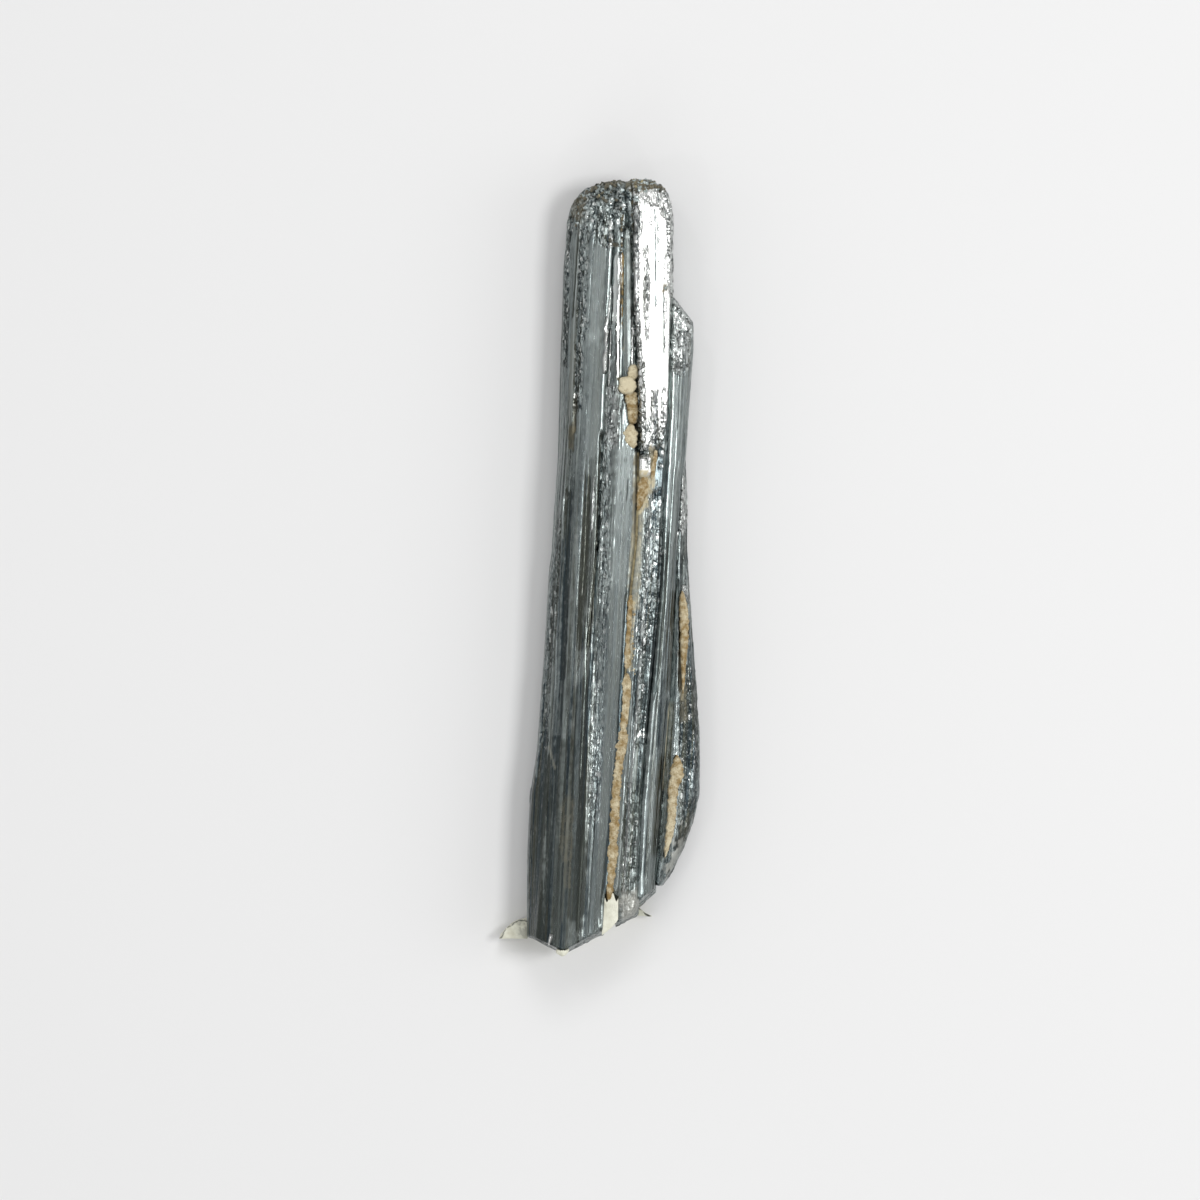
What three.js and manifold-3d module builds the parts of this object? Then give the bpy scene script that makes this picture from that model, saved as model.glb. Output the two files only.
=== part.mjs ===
// A stibnite group: five striated prisms that grew side by side, with ochre clay in the seams
// between them and a lens of pale calcite behind the foot. Millimetres, +Z up.
// The group lies on its flat back, with its foot towards -Y and its crown towards +Y.
// Below, y runs up the crystals from the foot tip, x runs across them and z is the height
// above the surface that they lie on.
import * as THREE from 'three';
import { mergeVertices } from 'three/addons/utils/BufferGeometryUtils.js';
import Module from 'manifold-3d';

const wasm = await Module();
wasm.setup();

// Driving dimensions.
const LENGTH = 110; // foot tip to crown
const FRONT = 13.3; // height of the broad front faces
const GAP = 0.3; // left between neighbouring pieces
const CROWN_LEFT = 8.2; // length of the etched, rounded end of the left prism
const CROWN_RIGHT = 7; // and of the right prism
const POCKET_RUN = 13; // the pocket behind the foot: how far it reaches up the back
const POCKET_RISE = 5.5; // and how high it is at the foot tip
const FOOT_LEAN = -0.12; // the broken feet face a little to the front, in radians

// Heights along the group where some edge bends.
const LEVELS = [
  0, 3, 5, 8.4, 10, 12, 15, 18.7, 23, 25.5, 29, 32, 38, 43, 51, 54, 57, 59.2, 65, 68, 71, 73, 76, 79,
  82, 86, 89, 93, 98, 101.8,
];
// Where the rounded ends are sliced, as shares of their length.
const CROWN_SLICES = [0.3, 0.52, 0.7, 0.84, 0.93, 0.98];

const lerp = THREE.MathUtils.lerp;

// A value that changes along the group: straight between the given [y, value] pairs.
function line(...bends) {
  return (y) => {
    const next = bends.findIndex(([level]) => level >= y);
    if (next < 0) return bends.at(-1)[1];
    if (next === 0) return bends[0][1];
    const [[y0, v0], [y1, v1]] = [bends[next - 1], bends[next]];
    return lerp(v0, v1, (y - y0) / (y1 - y0));
  };
}
const level = (value) => () => value;
const beside = (edge, step) => (y) => edge(y) + step;
const between = (a, b, share) => (y) => lerp(a(y), b(y), share);
const corner = (x, z) => ({ x, z: typeof z === 'number' ? level(z) : z });

// Closed solid through the corners, listed from the back left, up over the front and down the
// right side. A crown draws the last sections in towards its centre, as a squared dome that is
// blunter from front to back.
function prism({ corners, from, to, levels = LEVELS, crown }) {
  const start = crown ? to - crown.length : to;
  const stations = [from, ...levels.filter((y) => y > from && y < start), start];
  if (crown) stations.push(...CROWN_SLICES.map((share) => start + share * crown.length));
  const sections = stations.map((y) => {
    const share = crown ? Math.max(0, (y - start) / crown.length) : 0;
    const drawn = (centre, value, power) => lerp(centre, value, (1 - share ** power) ** (1 / power));
    return corners.map(({ x, z }) => {
      if (!crown) return [x(y), y, z(y)];
      return [drawn(crown.x, x(y), crown.power), y, drawn(crown.z, z(y), crown.blunt)];
    });
  });
  return loft(sections);
}

// Skin over sections with equally many corners, with a fan over each end.
function loft(sections) {
  const count = sections[0].length;
  const positions = sections.flat(2);
  const index = [];
  const middle = (section) => {
    const sum = section.reduce((a, p) => [a[0] + p[0], a[1] + p[1], a[2] + p[2]], [0, 0, 0]);
    return sum.map((v) => v / count);
  };
  const foot = sections.length * count;
  const crown = foot + 1;
  positions.push(...middle(sections[0]), ...middle(sections.at(-1)));
  for (let corner = 0; corner < count; corner++) {
    const next = (corner + 1) % count;
    const top = (sections.length - 1) * count;
    index.push(foot, next, corner, crown, top + corner, top + next);
    for (let row = 0; row < top; row += count) {
      index.push(row + corner, row + next, row + count + next);
      index.push(row + corner, row + count + next, row + count + corner);
    }
  }
  const geometry = new THREE.BufferGeometry();
  geometry.setAttribute('position', new THREE.Float32BufferAttribute(positions, 3));
  geometry.setIndex(index);
  return solidOf(geometry);
}

function solidOf(geometry) {
  const bare = geometry.clone();
  bare.deleteAttribute('normal');
  bare.deleteAttribute('uv');
  const merged = mergeVertices(bare, 1e-4);
  const mesh = new wasm.Mesh({
    numProp: 3,
    vertProperties: merged.attributes.position.array,
    triVerts: new Uint32Array(merged.index.array),
  });
  return new wasm.Manifold(mesh);
}

function geometryOf(solid) {
  const { vertProperties, triVerts } = solid.getMesh();
  const geometry = new THREE.BufferGeometry();
  geometry.setAttribute('position', new THREE.Float32BufferAttribute(vertProperties, 3));
  geometry.setIndex([...triVerts]);
  const flat = geometry.toNonIndexed();
  flat.computeVertexNormals();
  return flat;
}

// What is left of a solid on the side of a plane that its normal points to.
function trimmed(solid, point, normal) {
  const size = 4 * LENGTH;
  const block = new THREE.BoxGeometry(size, size, size).translate(0, -size / 2, 0);
  const up = new THREE.Vector3(0, 1, 0);
  const turn = new THREE.Quaternion().setFromUnitVectors(up, normal.clone().normalize());
  block.applyQuaternion(turn).translate(...point);
  return solid.subtract(solidOf(block));
}

// A broken foot: the solid ends at the slanting line from a to b, seen from the front.
function broken(solid, a, b) {
  const rise = new THREE.Vector3(a[1] - b[1], b[0] - a[0], 0).normalize();
  const normal = rise.multiplyScalar(Math.cos(FOOT_LEAN)).setZ(Math.sin(FOOT_LEAN));
  return trimmed(solid, [a[0], a[1], POCKET_RISE], normal);
}

// The pocket behind the foot slopes from the back face up to the foot tip.
const pocketNormal = new THREE.Vector3(0, POCKET_RISE, POCKET_RUN).normalize();
const pocketed = (solid) => trimmed(solid, [0, POCKET_RUN, 0], pocketNormal);

// A filling loses what its neighbours take, and a gap beside and in front of them.
function fitted(blank, neighbours) {
  const steps = [[0, 0, GAP], [GAP, 0, GAP], [-GAP, 0, GAP], [GAP, 0, 0], [-GAP, 0, 0]];
  let left = blank;
  for (const neighbour of neighbours) {
    for (const step of steps) left = left.subtract(neighbour.translate(step));
  }
  return left.decompose().sort((a, b) => b.volume() - a.volume())[0];
}

// Seams and silhouettes, as x along the group.
const leftSide = line(
  [0, -10.3], [15, -10.2], [23, -9.8], [25.5, -9.4], [29, -8.9], [43, -7.8], [54, -7.2], [57, -6.7],
  [71, -5.8], [89, -5.3], [98, -5], [101.8, -4.65],
);
const seamLeft = line(
  [3, 0.2], [8.4, 0.5], [10, 0.95], [18.7, 1.75], [32, 2.85], [51, 3.95], [59.2, 4.85], [65, 5.05],
  [71, 5.1], [76, 3.8], [82, 3.05], [110, 3.4],
);
const seamRight = line(
  [3, 1.5], [5, 2.45], [8.4, 2.45], [10, 1.25], [18.7, 2.05], [32, 3.15], [51, 4.25], [59.2, 5.15],
  [71, 5.5], [86, 5.15], [93, 4.7], [101.8, 4.6], [107, 4],
);
const flankSeam = line(
  [10, 5.3], [23, 5.9], [38, 7.2], [51, 8.4], [65, 9], [76, 9.65], [86, 9.85], [93, 10.2],
);
const sideSeam = line([12, 7.9], [18.7, 8.6], [38, 10.1], [57, 10.9], [68, 11.6], [71, 12]);
const flankRight = line([71, 12], [79, 12.55], [86, 13.1], [89, 13.1]);
const sideRight = line(
  [10, 9], [12, 10.4], [15, 11.8], [18.7, 13.2], [23, 14.2], [32, 14.2], [43, 13.4], [54, 12.6],
  [59.2, 12.3], [65, 12.4], [71, 12.1],
);

// Long edges between the front faces of the left prism.
const leftRidge = line([3, -8.9], [15, -7.8], [38, -6.1], [65, -5], [82, -3.6], [101.8, -2.7]);
const paleFaceLeft = line([5, -6.8], [23, -5.5], [51, -3.8], [73, -2.1], [101.8, -1.3]);
const groove = line([5, -3.2], [29, -1.9], [51, -1], [59.2, -0.5], [73, 0], [86, 0.5], [101.8, 1.4]);
const smoothFaceLeft = line([8.4, -1.3], [32, 0.6], [65, 2.1], [71, 2.3], [101.8, 2.6]);

function leftPrism() {
  const corners = [
    corner(beside(leftSide, 2.4), 0),
    corner(leftSide, 3.6),
    corner(beside(leftSide, 0.35), 8),
    corner(leftRidge, 10.7),
    corner(paleFaceLeft, 12.5),
    corner(groove, FRONT),
    corner(beside(groove, 0.3), line([29, FRONT - 0.03], [38, FRONT - 0.15], [51, FRONT - 0.75])),
    corner(smoothFaceLeft, FRONT),
    corner(beside(seamLeft, -0.25), line([71, FRONT + 0.05], [82, FRONT - 0.2])),
    corner(seamLeft, FRONT - 1.5),
    corner(seamLeft, 2.2),
    corner(beside(seamLeft, -1.6), 0),
  ];
  const crown = { length: CROWN_LEFT, power: 2.8, blunt: 3.5, x: 3, z: 6.3 };
  let solid = prism({ corners, from: -1, to: LENGTH, crown });
  solid = broken(solid, [-10.4, 2.8], [-5.3, 0]);
  solid = broken(solid, [-5.3, 0], [0.4, 3]);
  return pocketed(solid);
}

// The right prism carries a raised bright plate from the crown down to a broken ledge.
function rightPrism() {
  const rightSide = beside(flankSeam, -GAP / 2);
  const bevel = line([71, 0.5], [84, 0.25]);
  const corners = [
    corner(beside(seamRight, 1.4), 0),
    corner(seamRight, 2.2),
    corner(seamRight, FRONT - 1.5),
    corner((y) => seamRight(y) + bevel(y), FRONT - 0.2),
    corner(between(seamRight, rightSide, 0.55), FRONT),
    corner(beside(rightSide, -0.5), FRONT - 0.25),
    corner(rightSide, FRONT - 1.3),
    corner(rightSide, 2.6),
    corner(beside(rightSide, -1), 0),
  ];
  const crown = { length: CROWN_RIGHT, power: 3.2, blunt: 6.5, x: 4.7, z: 6.3 };
  let solid = prism({ corners, from: 2, to: LENGTH, crown });
  solid = broken(solid, [1.5, 3.7], [4.7, 5.4]);
  solid = broken(solid, [4.7, 5.4], [6.4, 8.2]);
  const left = line([PLATE_FOOT, 6.1], [73, 5.8], [82, 5.5], [86, 5.3], [93, 4.85], [107, 4.75]);
  const right = line([PLATE_FOOT, 8.3], [73, 8.9], [76, 9.4], [82, 9.6], [93, 9.85], [101.8, 9.95]);
  const bright = plate({ left, right, from: PLATE_FOOT, to: LENGTH - 0.1, crown });
  const remnant = plate({ left: level(5.6), right: level(7.2), from: 68.2, to: 71.1 });
  return pocketed(solid).add(bright).add(remnant);
}

const PLATE_FOOT = 71.6; // where the plate is broken off
const PLATE_LEFT_Z = FRONT + 1.15;
const PLATE_RIGHT_Z = FRONT + 0.55;

function plate({ left, right, ...ends }) {
  const corners = [
    corner(beside(left, -0.1), FRONT - 2),
    corner(beside(left, 0.3), PLATE_LEFT_Z),
    corner(beside(right, -0.3), PLATE_RIGHT_Z),
    corner(right, FRONT - 2),
  ];
  return prism({ corners, ...ends });
}

// A thin blade stands back in the upper seam, and carries the ochre at its foot.
function seamBlade(neighbours) {
  const left = beside(seamLeft, -GAP);
  const right = beside(seamRight, 2 * GAP);
  const front = line([73, 9.5], [79, 11], [82, FRONT - 0.6], [104, FRONT - 1.2], [LENGTH, FRONT - 4]);
  const corners = [
    corner(left, 2),
    corner(left, beside(front, -0.3)),
    corner(between(left, right, 0.35), front),
    corner(right, beside(front, -0.15)),
    corner(right, 2),
  ];
  return fitted(prism({ corners, from: 73, to: LENGTH - 0.7 }), neighbours);
}

const FLANK_SHOULDER = 94.2; // top of the flank prism, at its left side

function flankPrism() {
  const left = beside(flankSeam, GAP / 2);
  const right = (y) => (y < 71 ? sideSeam(y) - GAP / 2 : flankRight(y));
  const rightZ = line([12, 9.9], [65, 10.3], [76, 9.4]);
  const corners = [
    corner(beside(left, 0.7), 0.8),
    corner(left, 2.6),
    corner(left, FRONT - 1.5),
    corner(between(left, right, 0.14), FRONT - 1),
    corner(between(left, right, 0.55), FRONT - 1.7),
    corner(between(left, right, 0.94), rightZ),
    corner(right, beside(rightZ, -0.8)),
    corner(right, 4),
    corner(between(left, right, 0.7), 1.2),
  ];
  let solid = prism({ corners, from: 5, to: 95 });
  solid = broken(solid, [5.2, 6.8], [9.6, 10.7]);
  const shoulder = new THREE.Vector3(-0.79, -0.6, -0.06);
  solid = trimmed(solid, [10.1, FLANK_SHOULDER, 2.6], shoulder);
  return pocketed(solid);
}

function sidePrism() {
  const left = beside(sideSeam, GAP / 2);
  const corners = [
    corner(between(left, sideRight, 0.25), 2.2),
    corner(left, 3.4),
    corner(left, 9),
    corner(between(left, sideRight, 0.2), 9.3),
    corner(between(left, sideRight, 0.85), 7.9),
    corner(sideRight, 6.3),
    corner(between(left, sideRight, 0.94), 3.9),
    corner(between(left, sideRight, 0.7), 2.4),
  ];
  return pocketed(prism({ corners, from: 10, to: 70.5 }));
}

// Ochre clay packed along a seam: [y, x, half width] from its low end to its high end.
function vein(stops, low, high) {
  const x = line(...stops.map(([y, centre]) => [y, centre]));
  const half = line(...stops.map(([y, , width]) => [y, width]));
  const across = (share) => (y) => x(y) + share * half(y);
  const corners = [
    corner(across(-0.5), low),
    corner(across(-1), (low + high) / 2),
    corner(across(-0.6), high),
    corner(across(0.6), high),
    corner(across(1), (low + high) / 2),
    corner(across(0.5), low),
  ];
  const levels = stops.map(([y]) => y);
  return prism({ corners, from: levels[0], to: levels.at(-1), levels });
}

const VEINS = {
  ochre_seam_lower: {
    stops: [
      [8.6, 1.1, 0.5], [15, 1.85, 0.65], [22, 2.4, 0.7], [30, 3.1, 0.95], [33, 3.3, 0.5], [39, 3.7, 0.7],
      [51, 4.3, 0.45],
    ],
    z: [FRONT - 1.3, FRONT + 0.3],
  },
  ochre_seam_upper: {
    stops: [[71.5, 4.3, 0.6], [75.6, 4.4, 1], [79.4, 4.4, 1]],
    z: [FRONT - 3, FRONT],
  },
  ochre_chip: {
    stops: [[79.8, 3.9, 0.8], [80.6, 3.9, 1.25], [82.2, 3.9, 1.1]],
    z: [FRONT - 1.6, FRONT + 0.55],
  },
  ochre_patch: {
    stops: [[63.4, 5.8, 0.35], [65.5, 6.1, 0.9], [67.9, 6.3, 0.95]],
    z: [FRONT - 0.3, FRONT + 0.75],
  },
  ochre_side_upper: {
    stops: [[38, 11.4, 0.3], [43, 11.7, 0.55], [52, 11.7, 0.5]],
    z: [FRONT - 4.8, FRONT - 3.3],
  },
  ochre_side_lower: {
    stops: [[14, 9.3, 0.3], [23.6, 10.1, 0.75], [24.4, 10.6, 1.05], [28.4, 10.7, 0.6]],
    z: [FRONT - 5, FRONT - 3.2],
  },
};

// Pale calcite fills the pocket behind the foot, stands out as a fin on each side of it and
// rises in a tongue through the notch between the two large prisms.
const LENS_LOW = 0.4;
const TONGUE_HIGH = 11.8;

function calciteLens(neighbours) {
  const outline = new THREE.Shape();
  outline.moveTo(-14.4, 2.2);
  outline.quadraticCurveTo(-13, 4.7, -10.6, 5);
  outline.lineTo(-8, 7);
  outline.lineTo(0, 8.4);
  outline.lineTo(5, 7.4);
  outline.quadraticCurveTo(5.9, 5.8, 7.4, 5.3);
  outline.lineTo(4.6, 5.5);
  outline.lineTo(1.5, 3.9);
  outline.lineTo(-4, 1.6);
  outline.lineTo(-10.2, 2.9);
  outline.lineTo(-10.4, 2.2);
  const options = { depth: POCKET_RISE, bevelEnabled: false, curveSegments: 8 };
  const slab = solidOf(new THREE.ExtrudeGeometry(outline, options).translate(0, 0, LENS_LOW));
  const down = pocketNormal.clone().negate();
  const top = new THREE.Vector3(0, POCKET_RUN, 0).addScaledVector(down, GAP);
  const lens = trimmed(slab, top.toArray(), down);
  const tongue = new THREE.Shape();
  tongue.moveTo(0.6, 3.2);
  tongue.lineTo(1.5, 4.2);
  tongue.lineTo(2.15, 5.4);
  tongue.lineTo(2.15, 8.1);
  tongue.lineTo(0.85, 7.9);
  const rise = new THREE.ExtrudeGeometry(tongue, { depth: TONGUE_HIGH - 1, bevelEnabled: false });
  return lens.add(solidOf(rise.translate(0, 0, 1)).subtract(neighbours.blade));
}

// A crumb of the same calcite is stuck to the front of the foot tip.
function calciteCrumb(neighbour) {
  const lump = new THREE.IcosahedronGeometry(1, 1).scale(0.95, 0.75, 0.8);
  return fitted(solidOf(lump.translate(-5.3, 0.95, FRONT - 1)), [neighbour]);
}

const stibnite = () => new THREE.MeshStandardMaterial({ color: 0x5f666b, metalness: 0.9, roughness: 0.35 });
const ochre = () => new THREE.MeshStandardMaterial({ color: 0xb08a55, metalness: 0, roughness: 0.9 });
const calcite = () => new THREE.MeshStandardMaterial({ color: 0xd9d6c4, metalness: 0, roughness: 0.55 });

const prisms = {
  left_crystal: leftPrism(),
  right_crystal: rightPrism(),
  flank_crystal: flankPrism(),
  side_crystal: sidePrism(),
};
prisms.seam_blade = seamBlade([prisms.left_crystal, prisms.right_crystal]);

const group = new THREE.Group();

function addPiece(name, solid, material) {
  const mesh = new THREE.Mesh(geometryOf(solid), material);
  mesh.name = name;
  group.add(mesh);
}

for (const [name, solid] of Object.entries(prisms)) addPiece(name, solid, stibnite());
for (const [name, { stops, z }] of Object.entries(VEINS)) {
  addPiece(name, fitted(vein(stops, ...z), Object.values(prisms)), ochre());
}
addPiece('calcite_lens', calciteLens({ blade: prisms.seam_blade }), calcite());
addPiece('calcite_crumb', calciteCrumb(prisms.left_crystal), calcite());

// The origin is the middle of the surface that the group covers.
const bounds = new THREE.Box3().setFromObject(group);
const middle = bounds.getCenter(new THREE.Vector3());
group.children.forEach((mesh) => mesh.position.set(-middle.x, -middle.y, -bounds.min.z));

export default group;
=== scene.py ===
"""Looks for a stibnite crystal group: striated, metallic prisms with ochre clay in their seams and
pale calcite at the broken foot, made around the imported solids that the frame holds."""
import math

import bpy
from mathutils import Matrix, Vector


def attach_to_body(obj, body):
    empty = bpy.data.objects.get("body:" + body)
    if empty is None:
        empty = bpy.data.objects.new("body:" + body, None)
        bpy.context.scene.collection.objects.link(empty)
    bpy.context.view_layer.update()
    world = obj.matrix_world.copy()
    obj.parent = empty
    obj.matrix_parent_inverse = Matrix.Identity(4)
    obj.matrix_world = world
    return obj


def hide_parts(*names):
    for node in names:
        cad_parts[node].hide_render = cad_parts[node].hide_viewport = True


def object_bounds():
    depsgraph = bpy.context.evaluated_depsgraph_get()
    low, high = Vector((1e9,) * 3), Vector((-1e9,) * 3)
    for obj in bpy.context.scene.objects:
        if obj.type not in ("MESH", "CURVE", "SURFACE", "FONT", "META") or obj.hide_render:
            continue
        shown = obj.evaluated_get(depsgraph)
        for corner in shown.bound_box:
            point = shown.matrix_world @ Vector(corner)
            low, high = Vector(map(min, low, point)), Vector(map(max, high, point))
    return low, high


bl_info = {
    "name": "Stibnite crystal group",
    "version": (1, 0, 0),
    "blender": (4, 5, 0),
    "location": "3D View > Sidebar > Stibnite",
    "description": "Grows the striated prisms, the clay and the calcite of a stibnite group",
    "category": "Add Mesh",
}

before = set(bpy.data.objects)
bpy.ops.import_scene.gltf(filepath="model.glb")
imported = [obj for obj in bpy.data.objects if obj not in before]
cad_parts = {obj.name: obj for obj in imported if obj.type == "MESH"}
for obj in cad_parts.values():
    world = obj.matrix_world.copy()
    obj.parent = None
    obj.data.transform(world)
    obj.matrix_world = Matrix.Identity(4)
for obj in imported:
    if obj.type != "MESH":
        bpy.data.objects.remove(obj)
CAD_LOW, CAD_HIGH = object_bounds()

# Places on the group are given in millimetres from the foot tip: x across, y up the prisms and
# z above the surface that the group lies on.
BOX_LENGTH = 109.86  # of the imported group
LEFT_REACH, CROWN_REACH = 14.4, 110  # from the foot tip to the sides of the box
MM = (CAD_HIGH.y - CAD_LOW.y) / BOX_LENGTH
FOOT = Vector((CAD_LOW.x + LEFT_REACH * MM, CAD_HIGH.y - CROWN_REACH * MM, CAD_LOW.z))
JOIN = 1e-7  # points closer than this, in metres, become one


def at(x, y, z=0.0):
    """A place on the group, in the frame's metres."""
    return FOOT + Vector((x, y, z)) * MM


def in_mm(place):
    """A node's place in metres, as millimetres from the foot tip."""
    return (place - FOOT) * (1 / MM)


# ---------------------------------------------------------------- node trees as expressions


def arithmetic(operation, turned=False):
    """A method that adds one math node, with its two terms turned round where that is asked."""

    def method(self, other):
        terms = (other, self) if turned else (self, other)
        return self.net.math(operation, *terms)

    return method


class Value:
    """One output of a node. Arithmetic on it adds Math nodes, or Vector Math nodes on vectors."""

    __add__ = arithmetic("ADD")
    __radd__ = arithmetic("ADD", turned=True)
    __sub__ = arithmetic("SUBTRACT")
    __rsub__ = arithmetic("SUBTRACT", turned=True)
    __mul__ = arithmetic("MULTIPLY")
    __rmul__ = arithmetic("MULTIPLY", turned=True)
    __truediv__ = arithmetic("DIVIDE")
    __rtruediv__ = arithmetic("DIVIDE", turned=True)
    least = arithmetic("MINIMUM")
    most = arithmetic("MAXIMUM")
    power = arithmetic("POWER")

    def __init__(self, net, socket):
        self.net = net
        self.socket = socket

    def clamp(self):
        return self.net.math("MULTIPLY", self, 1.0, clamp=True)

    def abs(self):
        return self.net.math("ABSOLUTE", self)

    def step(self, start, end):
        """0 up to start, 1 from end on, and straight between them."""
        return ((self - start) * (1 / (end - start))).clamp()

    def bent(self, power):
        """Raised to a power, keeping its sign."""
        return self.net.math("SIGN", self) * self.abs().power(power)

    @property
    def parts(self):
        """The three parts of a vector or a colour."""
        split = self.net.node("ShaderNodeSeparateXYZ", inputs={"Vector": self})
        return split["X"], split["Y"], split["Z"]


class Outputs:
    """A node that has been added, whose outputs are read by name or by number."""

    def __init__(self, net, made):
        self.net = net
        self.made = made

    def __getitem__(self, key):
        return Value(self.net, pick(self.made.outputs, key))


def pick(sockets, key):
    """A socket by its number, or by the name that it has while it is in use."""
    if isinstance(key, int):
        return sockets[key]
    return next(socket for socket in sockets if socket.name == key and socket.enabled)


def spaced(values):
    """Sockets by their own names, from arguments that have _ for a space."""
    return {name.replace("_", " "): value for name, value in values.items()}


class Net:
    """A node tree that is written as expressions."""

    def __init__(self, tree):
        self.tree = tree

    def node(self, kind, settings=None, inputs=None):
        """Adds a node: its settings first, then the values or the links of its sockets."""
        made = self.tree.nodes.new(kind)
        for name, value in (settings or {}).items():
            setattr(made, name, value)
        for key, value in (inputs or {}).items():
            self.feed(pick(made.inputs, key), value)
        return Outputs(self, made)

    def feed(self, socket, value):
        if isinstance(value, Value):
            self.tree.links.new(value.socket, socket)
        else:
            socket.default_value = value

    def math(self, operation, *terms, clamp=False):
        """Adds a Math node, or a Vector Math node where a term is a vector."""
        if not any(is_vector(term) for term in terms):
            settings = {"operation": operation, "use_clamp": clamp}
            return self.node("ShaderNodeMath", settings, dict(enumerate(terms)))["Value"]
        if operation == "MULTIPLY" and not all(is_vector(term) for term in terms):
            vector, number = sorted(terms, key=is_vector, reverse=True)
            inputs = {0: vector, "Scale": number}
            return self.node("ShaderNodeVectorMath", {"operation": "SCALE"}, inputs)["Vector"]
        made = self.node("ShaderNodeVectorMath", {"operation": operation}, dict(enumerate(terms)))
        return made["Value" if operation in ("DOT_PRODUCT", "LENGTH") else "Vector"]

    def vector(self, x, y, z):
        return self.node("ShaderNodeCombineXYZ", inputs={"X": x, "Y": y, "Z": z})["Vector"]

    def mix(self, share, low, high):
        """Between two colours, each of them a value or three numbers."""
        low, high = (end if isinstance(end, Value) else (*end, 1) for end in (low, high))
        inputs = {"Factor": share, "A": low, "B": high}
        return self.node("ShaderNodeMix", {"data_type": "RGBA"}, inputs)["Result"]

    def curve(self, value, *points):
        """Straight lines between points, from 0 to 1 both ways."""
        made = self.node("ShaderNodeFloatCurve", inputs={"Value": value})
        mapping = made.made.mapping
        curve = mapping.curves[0]
        while len(curve.points) < len(points):
            curve.points.new(0.5, 0.5)
        for point, place in zip(curve.points, points):
            point.location = place
            point.handle_type = "VECTOR"
        mapping.update()
        return made["Value"]

    def noise(self, place, scale=1.0, detail=2.0, roughness=0.5):
        inputs = {"Vector": place, "Scale": scale, "Detail": detail, "Roughness": roughness}
        return self.node("ShaderNodeTexNoise", inputs=inputs)["Fac"]

    def cells(self, place):
        """Voronoi cells one unit across: three random numbers for the cell, and the way from
        its middle."""
        made = self.node("ShaderNodeTexVoronoi", inputs={"Vector": place, "Scale": 1.0})
        return made["Color"].parts, (place - made["Position"])

    def place(self):
        return self.node("GeometryNodeInputPosition")["Position"]

    def solid(self, source):
        """The mesh of one of the frame's solids."""
        settings = {"transform_space": "ORIGINAL"}
        return self.node("GeometryNodeObjectInfo", settings, {"Object": source})["Geometry"]

    def grid(self, columns, rows):
        """A flat grid: its mesh, and how far across and along it a point is, from 0 to 1."""
        inputs = {"Size X": 1.0, "Size Y": 1.0, "Vertices X": columns, "Vertices Y": rows}
        mesh = self.node("GeometryNodeMeshGrid", inputs=inputs)["Mesh"]
        across, along, _ = (self.place() + Vector((0.5, 0.5, 0))).parts
        return mesh, across, along

    def send(self, mesh, kind, **inputs):
        """Sends a mesh through a Geometry node."""
        inputs = {"Geometry": mesh, **spaced(inputs)}
        return self.node("GeometryNode" + kind, inputs=inputs)["Geometry"]

    def store(self, mesh, name, value, kind="FLOAT", domain="POINT"):
        inputs = {"Geometry": mesh, "Name": name, "Value": value}
        settings = {"data_type": kind, "domain": domain}
        return self.node("GeometryNodeStoreNamedAttribute", settings, inputs)["Geometry"]

    def named(self, name, kind="FLOAT"):
        """A stored attribute, in a Geometry Nodes tree."""
        settings = {"data_type": kind}
        return self.node("GeometryNodeInputNamedAttribute", settings, {"Name": name})["Attribute"]

    def attribute(self, name, part="Fac"):
        """A stored attribute, in a material."""
        return self.node("ShaderNodeAttribute", {"attribute_name": name})[part]


def is_vector(term):
    if isinstance(term, Value):
        return term.socket.type == "VECTOR"
    return isinstance(term, Vector)


def new_tree(name, inputs, output="Geometry", output_kind="Geometry"):
    """An empty Geometry Nodes tree, whose inputs are listed by their kind: the net, and the node
    that has its inputs by name."""
    tree = bpy.data.node_groups.new(name, "GeometryNodeTree")
    for kind, labels in inputs.items():
        for label in labels:
            tree.interface.new_socket(label, in_out="INPUT", socket_type="NodeSocket" + kind)
    tree.interface.new_socket(output, in_out="OUTPUT", socket_type="NodeSocket" + output_kind)
    net = Net(tree)
    return net, net.node("NodeGroupInput")


def finish_tree(net, mesh, material, smooth=True):
    """Ends a Geometry Nodes tree: shading, plain geometry and the material."""
    mesh = net.send(mesh, "SetShadeSmooth", Shade_Smooth=smooth)
    mesh = net.send(mesh, "RealizeInstances")
    mesh = net.send(mesh, "SetMaterial", Material=material)
    net.node("NodeGroupOutput", inputs={"Geometry": mesh})
    return net.tree


def grow(name, tree, sizes):
    """Runs a tree once, and keeps what it makes as an object with a plain mesh."""
    piece = bpy.data.objects.new(name, bpy.data.meshes.new(name))
    bpy.context.scene.collection.objects.link(piece)
    growth = piece.modifiers.new("Growth", "NODES")
    growth.node_group = tree
    for socket in tree.interface.items_tree:
        if socket.in_out == "INPUT":
            growth[socket.identifier] = sizes[socket.name]
    evaluated = piece.evaluated_get(bpy.context.evaluated_depsgraph_get())
    mesh = bpy.data.meshes.new_from_object(evaluated)
    piece.modifiers.remove(growth)
    piece.data = mesh
    if not mesh.polygons:
        raise RuntimeError(f"{name} came out empty")
    return piece


def attach(piece, slot, *nodes):
    """Ties a finished piece to the frame, in place of the nodes that it covers."""
    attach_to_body(piece, "root")
    if nodes:
        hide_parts(*nodes)


# ---------------------------------------------------------------- sizes and colours


def colour(name, description, default):
    return bpy.props.FloatVectorProperty(
        name=name, description=description, subtype="COLOR", size=3, min=0, max=1, default=default
    )


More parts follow.
